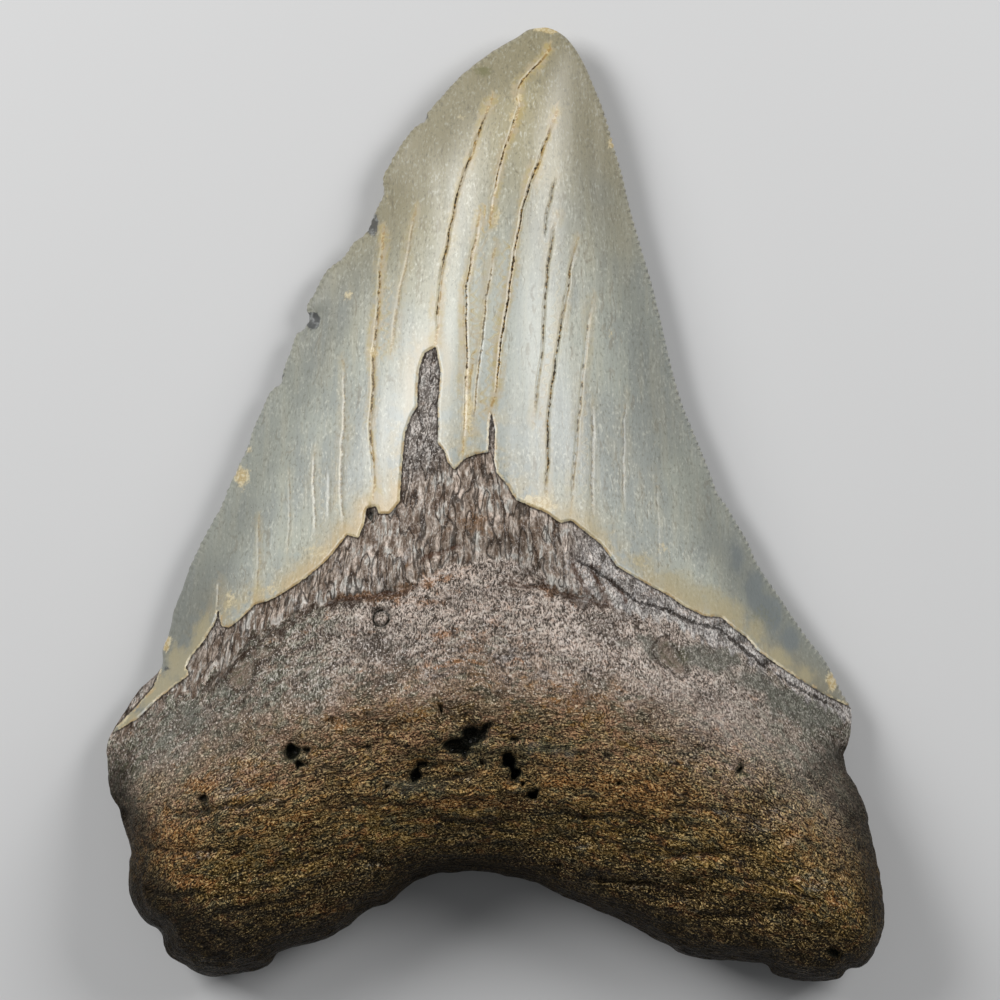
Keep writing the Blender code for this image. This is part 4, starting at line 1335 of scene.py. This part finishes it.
# The low colours are darker than those above: partly the bone's own colour, partly painted shade where the root
# curves down away from the lamps.
low_colour = layered(
    mixed(between(tint_one, 0.44, 0.56), DARK_OLIVE, GOLD_BROWN),
    (between(tint_two, 0.53, 0.62) * 0.9, RUST),
    (between(tint_three, 0.53, 0.63) * 0.85, VERDIGRIS))
rust_mask = stain("rust", tint_two, 2.4, 0.30, 0.85)
film_mask = stain("film", blotch, 1.6, 0.25, 0.85)
hollow = stain("tan", crumble, 0.7, 0.30, 0.75)
# Painted shade along the rim of each tan hollow.
hollow_rim_shade = stain("tan", crumble, 0.3, 0.16, 0.28) * between(measure("tan"), 0.46, 0.32)
verdigris_mask = stain("verdigris", tint_three, 2.4, 0.30, 0.85)
# Painted shade darkens the band near the arch almost to black.
bone_colour = layered(
    mixed(between(tint_one, 0.42, 0.56), MAUVE, MAUVE_GREY),
    (between(tint_three, 0.50, 0.62) * 0.7, GREEN_GREY),
    (between(tint_three, 0.44, 0.34) * 0.6, BLUE_GREY),
    (between(tint_two, 0.54, 0.66) * 0.6, PINK_BROWN),
    (between(tint_two, 0.62, 0.72) * 0.6, SALMON),
    (sheen_under_ledge * 0.75, LEDGE_SHEEN),
    (larger(left_shade, right_shade) * 0.8, mixed(between(tint_three, 0.42, 0.56), TAUPE, TAUPE_GREEN)),
    (between(zone, 16.0, 27.0), middle_colour),
    (between(low_zone, 26.5, 40.0), low_colour),
    (between(low_zone, 37.0, 47.0) * 0.72, ARCH_SHADE),
    (rust_mask * 0.75, RUST),
    (film_mask * 0.85, FILM_GREY),
    (hollow * 0.70, HOLLOW_TAN),
    (hollow_rim_shade * 0.75, HOLLOW_RIM_SHADE),
    (verdigris_mask * 0.8, VERDIGRIS))
print("bone colours mixed")

# %% The collar's strands
strand_noise = speckle(stretched(half_wavy, (0.42, 0.060, 0.30)), detail=1.0)
thread_noise = speckle(stretched(half_wavy, (1.00, 0.14, 0.6)), detail=1.0)
strand_colour = speckle(stretched(half_wavy, (0.62, 0.11, 0.5)), detail=2.0, rough=0.70)
over_ledge = measure("over_ledge") + (strand_noise - 0.5) * 3.2 + (thread_noise - 0.5) * 1.6
in_collar = between(over_ledge + (blotch - 0.5) * 2.0, -0.35, 0.35)
tongue = between(below, 0.0, -4.0)
right_collar = between(across + patch * 6, 10.0, 16.0)
pale_mask = stain("pale", crumble, 1.2, 0.30, 0.70)
dark_threads = larger(wormlines(strand_noise, 0.046), wormlines(thread_noise, 0.040) * 0.50)
# Painted highlight on the lip of the collar's ribs just above the ledge.
lip_highlight = between(over_ledge, 0.15, 0.55) * between(over_ledge, 1.6, 0.8) * measure("ledge_dark")
STRAND_BROWN = (0.120, 0.082, 0.058)
STRAND_TAUPE = (0.250, 0.200, 0.160)
STRAND_PINK = (0.50, 0.41, 0.345)
STRAND_GREY = (0.45, 0.43, 0.39)
TONGUE_GREY = (0.190, 0.178, 0.165)
CHUNK_GREY = (0.40, 0.40, 0.40)
CHUNK_GAP = (0.065, 0.055, 0.048)
COLLAR_RUST = (0.20, 0.115, 0.062)
CHUNK_TAN = (0.36, 0.30, 0.26)
CHUNK_PALE = (0.50, 0.47, 0.45)
LIP_HIGHLIGHT = (0.52, 0.50, 0.46)
THREAD_DARK = (0.020, 0.014, 0.010)
collar_colour = layered(
    mixed(between(strand_colour, 0.38, 0.50), STRAND_BROWN, STRAND_TAUPE),
    (between(strand_colour, 0.49, 0.61), mixed(between(blotch, 0.42, 0.58), STRAND_PINK, STRAND_GREY)),
    (tongue * 0.75, TONGUE_GREY),
    (right_collar * 0.55, CHUNK_GREY),
    (right_collar * between(mottle, 0.50, 0.38) * 0.8, CHUNK_GAP),
    (rust_mask * 0.7, COLLAR_RUST),
    (pale_mask * 0.7, mixed(between(bead, 0.42, 0.58), CHUNK_TAN, CHUNK_PALE)),
    (lip_highlight * between(strand_colour, 0.44, 0.54) * 0.8, LIP_HIGHLIGHT),
    (dark_threads * (1 - right_collar * 0.8) * 0.82, THREAD_DARK))
bone_colour = mixed(in_collar, bone_colour, collar_colour)
print("strands woven")

# %% Painted highlights and shade on the grains, folds and sides, and the darker creases and stains
GLINT_PINK = (0.72, 0.65, 0.59)
GLINT_GOLD = (0.76, 0.54, 0.24)
FOLD_SHADE = (0.020, 0.014, 0.008)
VALLEY_SHADE = (0.006, 0.005, 0.003)
GAP_SHADE_BROWN = (0.058, 0.045, 0.036)
GAP_SHADE_DARK = (0.010, 0.006, 0.003)
CREASE_RED = (0.075, 0.036, 0.020)
SIDE_SHADE_COLOUR = (0.011, 0.008, 0.005)
rocky = measure("rocky")
calm = larger(in_collar * (1 - tongue * 0.55) * (0.74 - right_collar * 0.45), hollow * 0.60)
calm = larger(calm, film_mask * 0.45)
lively = 1 - calm
glint_colour = mixed(between(low_zone, 18.0, 32.0), GLINT_PINK, GLINT_GOLD)
gap_shade_colour = mixed(between(low_zone, 16.0, 34.0), GAP_SHADE_BROWN, GAP_SHADE_DARK)
# The creases are darkened: red-brown dirt in the grooves near the ledge, painted shade in the level creases lower
# down.
crease_noise = speckle(stretched(level_place, (0.16, 0.85, 0.6)), detail=1.0)
drawn_crease = stain("crease", crumble, 0.8, 0.42, 0.10)
creases = larger(wormlines(crease_noise, 0.034) * between(low_zone, 22.0, 30.0), drawn_crease)
# Dark patches: partly dark stains, partly painted shade low on the root and at the lobes' edges.
dark_stain_and_shade_mask = stain("dark_stain_and_shade", blotch, 1.4, 0.30, 0.95)
# Painted shade on the root's steep sides near its outline.
side_shade = between(edge_gap + patch * 5.0, 8.5, 3.0) * between(below, 1.0, 6.0)
# Painted shade in the hollows of the root's folds; further down, their crests get a painted highlight.
bone_colour = mixed(between(rocky, 0.00, -0.36) * 0.55, bone_colour, FOLD_SHADE)
brighter = Socket.node("ShaderNodeVectorMath", {"operation": "SCALE"}, {0: bone_colour, "Scale": 2.0})
# Painted highlight on the lighter grains, painted glints and sparkles, and painted shade in the gaps between grains.
bone_colour = layered(
    bone_colour,
    (larger(light_grain_and_highlight, crest_highlight * 0.4) * lively * 0.85, brighter),
    (between(rocky, 0.08, 0.42) * (1 - in_collar) * 0.30, brighter),
    (grain_glint * lively * 0.60, glint_colour),
    (valley * between(low_zone, 26.0, 40.0) * 0.5, VALLEY_SHADE),
    (grain_gap_shade * lively * 0.92, gap_shade_colour),
    (sparkle * lively * 0.90, glint_colour),
    (creases * 0.75, mixed(between(low_zone, 12.0, 20.0), CREASE_RED, DARK_STAIN_AND_SHADE)),
    (dark_stain_and_shade_mask * 0.7, DARK_STAIN_AND_SHADE),
    (side_shade * 0.82, SIDE_SHADE_COLOUR))
print("grains lit")

# %% Ledge, split and pits in the bone
LEDGE_SHADOW = (0.034, 0.020, 0.013)
SPLIT_DARK = (0.018, 0.013, 0.010)
UNDER_ENAMEL_SHADOW = (0.030, 0.022, 0.016)
PIT_LINING = (0.036, 0.040, 0.030)
PIT_DEPTH_SHADE = (0.004, 0.005, 0.004)
ledge_gap = abs(over_ledge + 0.45)
# Painted shadow under the ledge, where the collar's ribs overhang the root.
ledge_shadow = between(ledge_gap + (crumble - 0.5) * 1.0, 0.62, 0.16) * measure("ledge_dark")
split_mask = stain("split", crumble, 1.0, 0.34, 0.12) * in_collar
# Painted shadow on the bone just under the enamel's step.
under_enamel_shadow = between(enamel_gap * -1.0 + (crumble - 0.5) * 0.3, 0.30, 0.10)
# The pits' lining is the bone's own green-grey; their near-black depths are painted shade.
pit = measure("pit") + (crumble - 0.5) * 1.0
bone_colour = layered(
    bone_colour,
    (ledge_shadow * 0.80, LEDGE_SHADOW),
    (split_mask * 0.85, SPLIT_DARK),
    (under_enamel_shadow * 0.7, UNDER_ENAMEL_SHADOW),
    (between(pit, 0.30, 0.75) * 0.6, PIT_LINING),
    (between(pit, 0.75, 1.15) * 0.92, PIT_DEPTH_SHADE))
print("pits darkened")

# %% [markdown]
# ## One surface
#
# Enamel is a satin gloss with fine lengthwise streaks, and bone is dull, but its grains glint a little. One shader
# could blend every value between the two. Here each has a shader of its own, because then each can be read alone,
# and a Mix Shader picks one by the distance to the enamel's edge. That edge is ragged on the scale of a grain of
# sand, so a little noise is added to the distance first. The bump carries only what is too small for the mesh.

# %% The finished material
def finish(colour, rough, coat, relief):
    """A dull body under a coat that gives the gloss."""
    bump = Socket.node("ShaderNodeBump", inputs={"Height": relief, "Distance": MM, "Strength": 1.0})
    return Socket.node("ShaderNodeBsdfPrincipled", inputs={
        "Base Color": colour, "Roughness": rough, "Coat Weight": coat, "Normal": bump,
        "Coat Roughness": 0.36, "Coat IOR": 1.6, "IOR": 1.5, "Specular IOR Level": 0.03, "Metallic": 0.0})


enamel_rough = 0.38 + (mottle - 0.5) * 0.25 + (hair_streak - 0.5) * 0.20
bone_rough = 0.34 + (blotch - 0.5) * 0.20 + grain_gap_shade * 0.10
enamel_relief = (hair_streak - 0.5) * 0.040 + (peel - 0.5) * 0.090
collar_relief = dark_threads * -0.10 + (strand_colour - 0.5) * 0.30
level_relief = (grit - 0.5) * 0.50 + (ridge - 0.5) * 1.3
upper_relief = (stroke - 0.5) * 0.50 + (fold - 0.5) * 1.4
root_relief = blended(between(low_place, 17.0, 29.0), upper_relief, level_relief)
bone_relief = blended(between(measure("over_ledge"), -0.4, 0.4), root_relief, collar_relief)
enamel_finish = finish(enamel_colour, enamel_rough, 0.9 - core * 0.8, enamel_relief)
bone_finish = finish(bone_colour, bone_rough, light_grain_and_highlight * (1 - side_shade) * 0.35, bone_relief)
is_enamel = between(enamel_gap + (crumble - 0.5) * 0.35, -0.03, 0.05)
surface = Socket.node("ShaderNodeMixShader", inputs={0: is_enamel, 1: bone_finish, 2: enamel_finish})
tooth_material.node_tree.nodes.remove(tooth_material.node_tree.nodes["Principled BSDF"])
Socket.feed(tooth_material.node_tree.nodes["Material Output"].inputs["Surface"], surface)
tooth.data.materials.append(tooth_material)
print("nodes in the material:", len(tooth_material.node_tree.nodes))
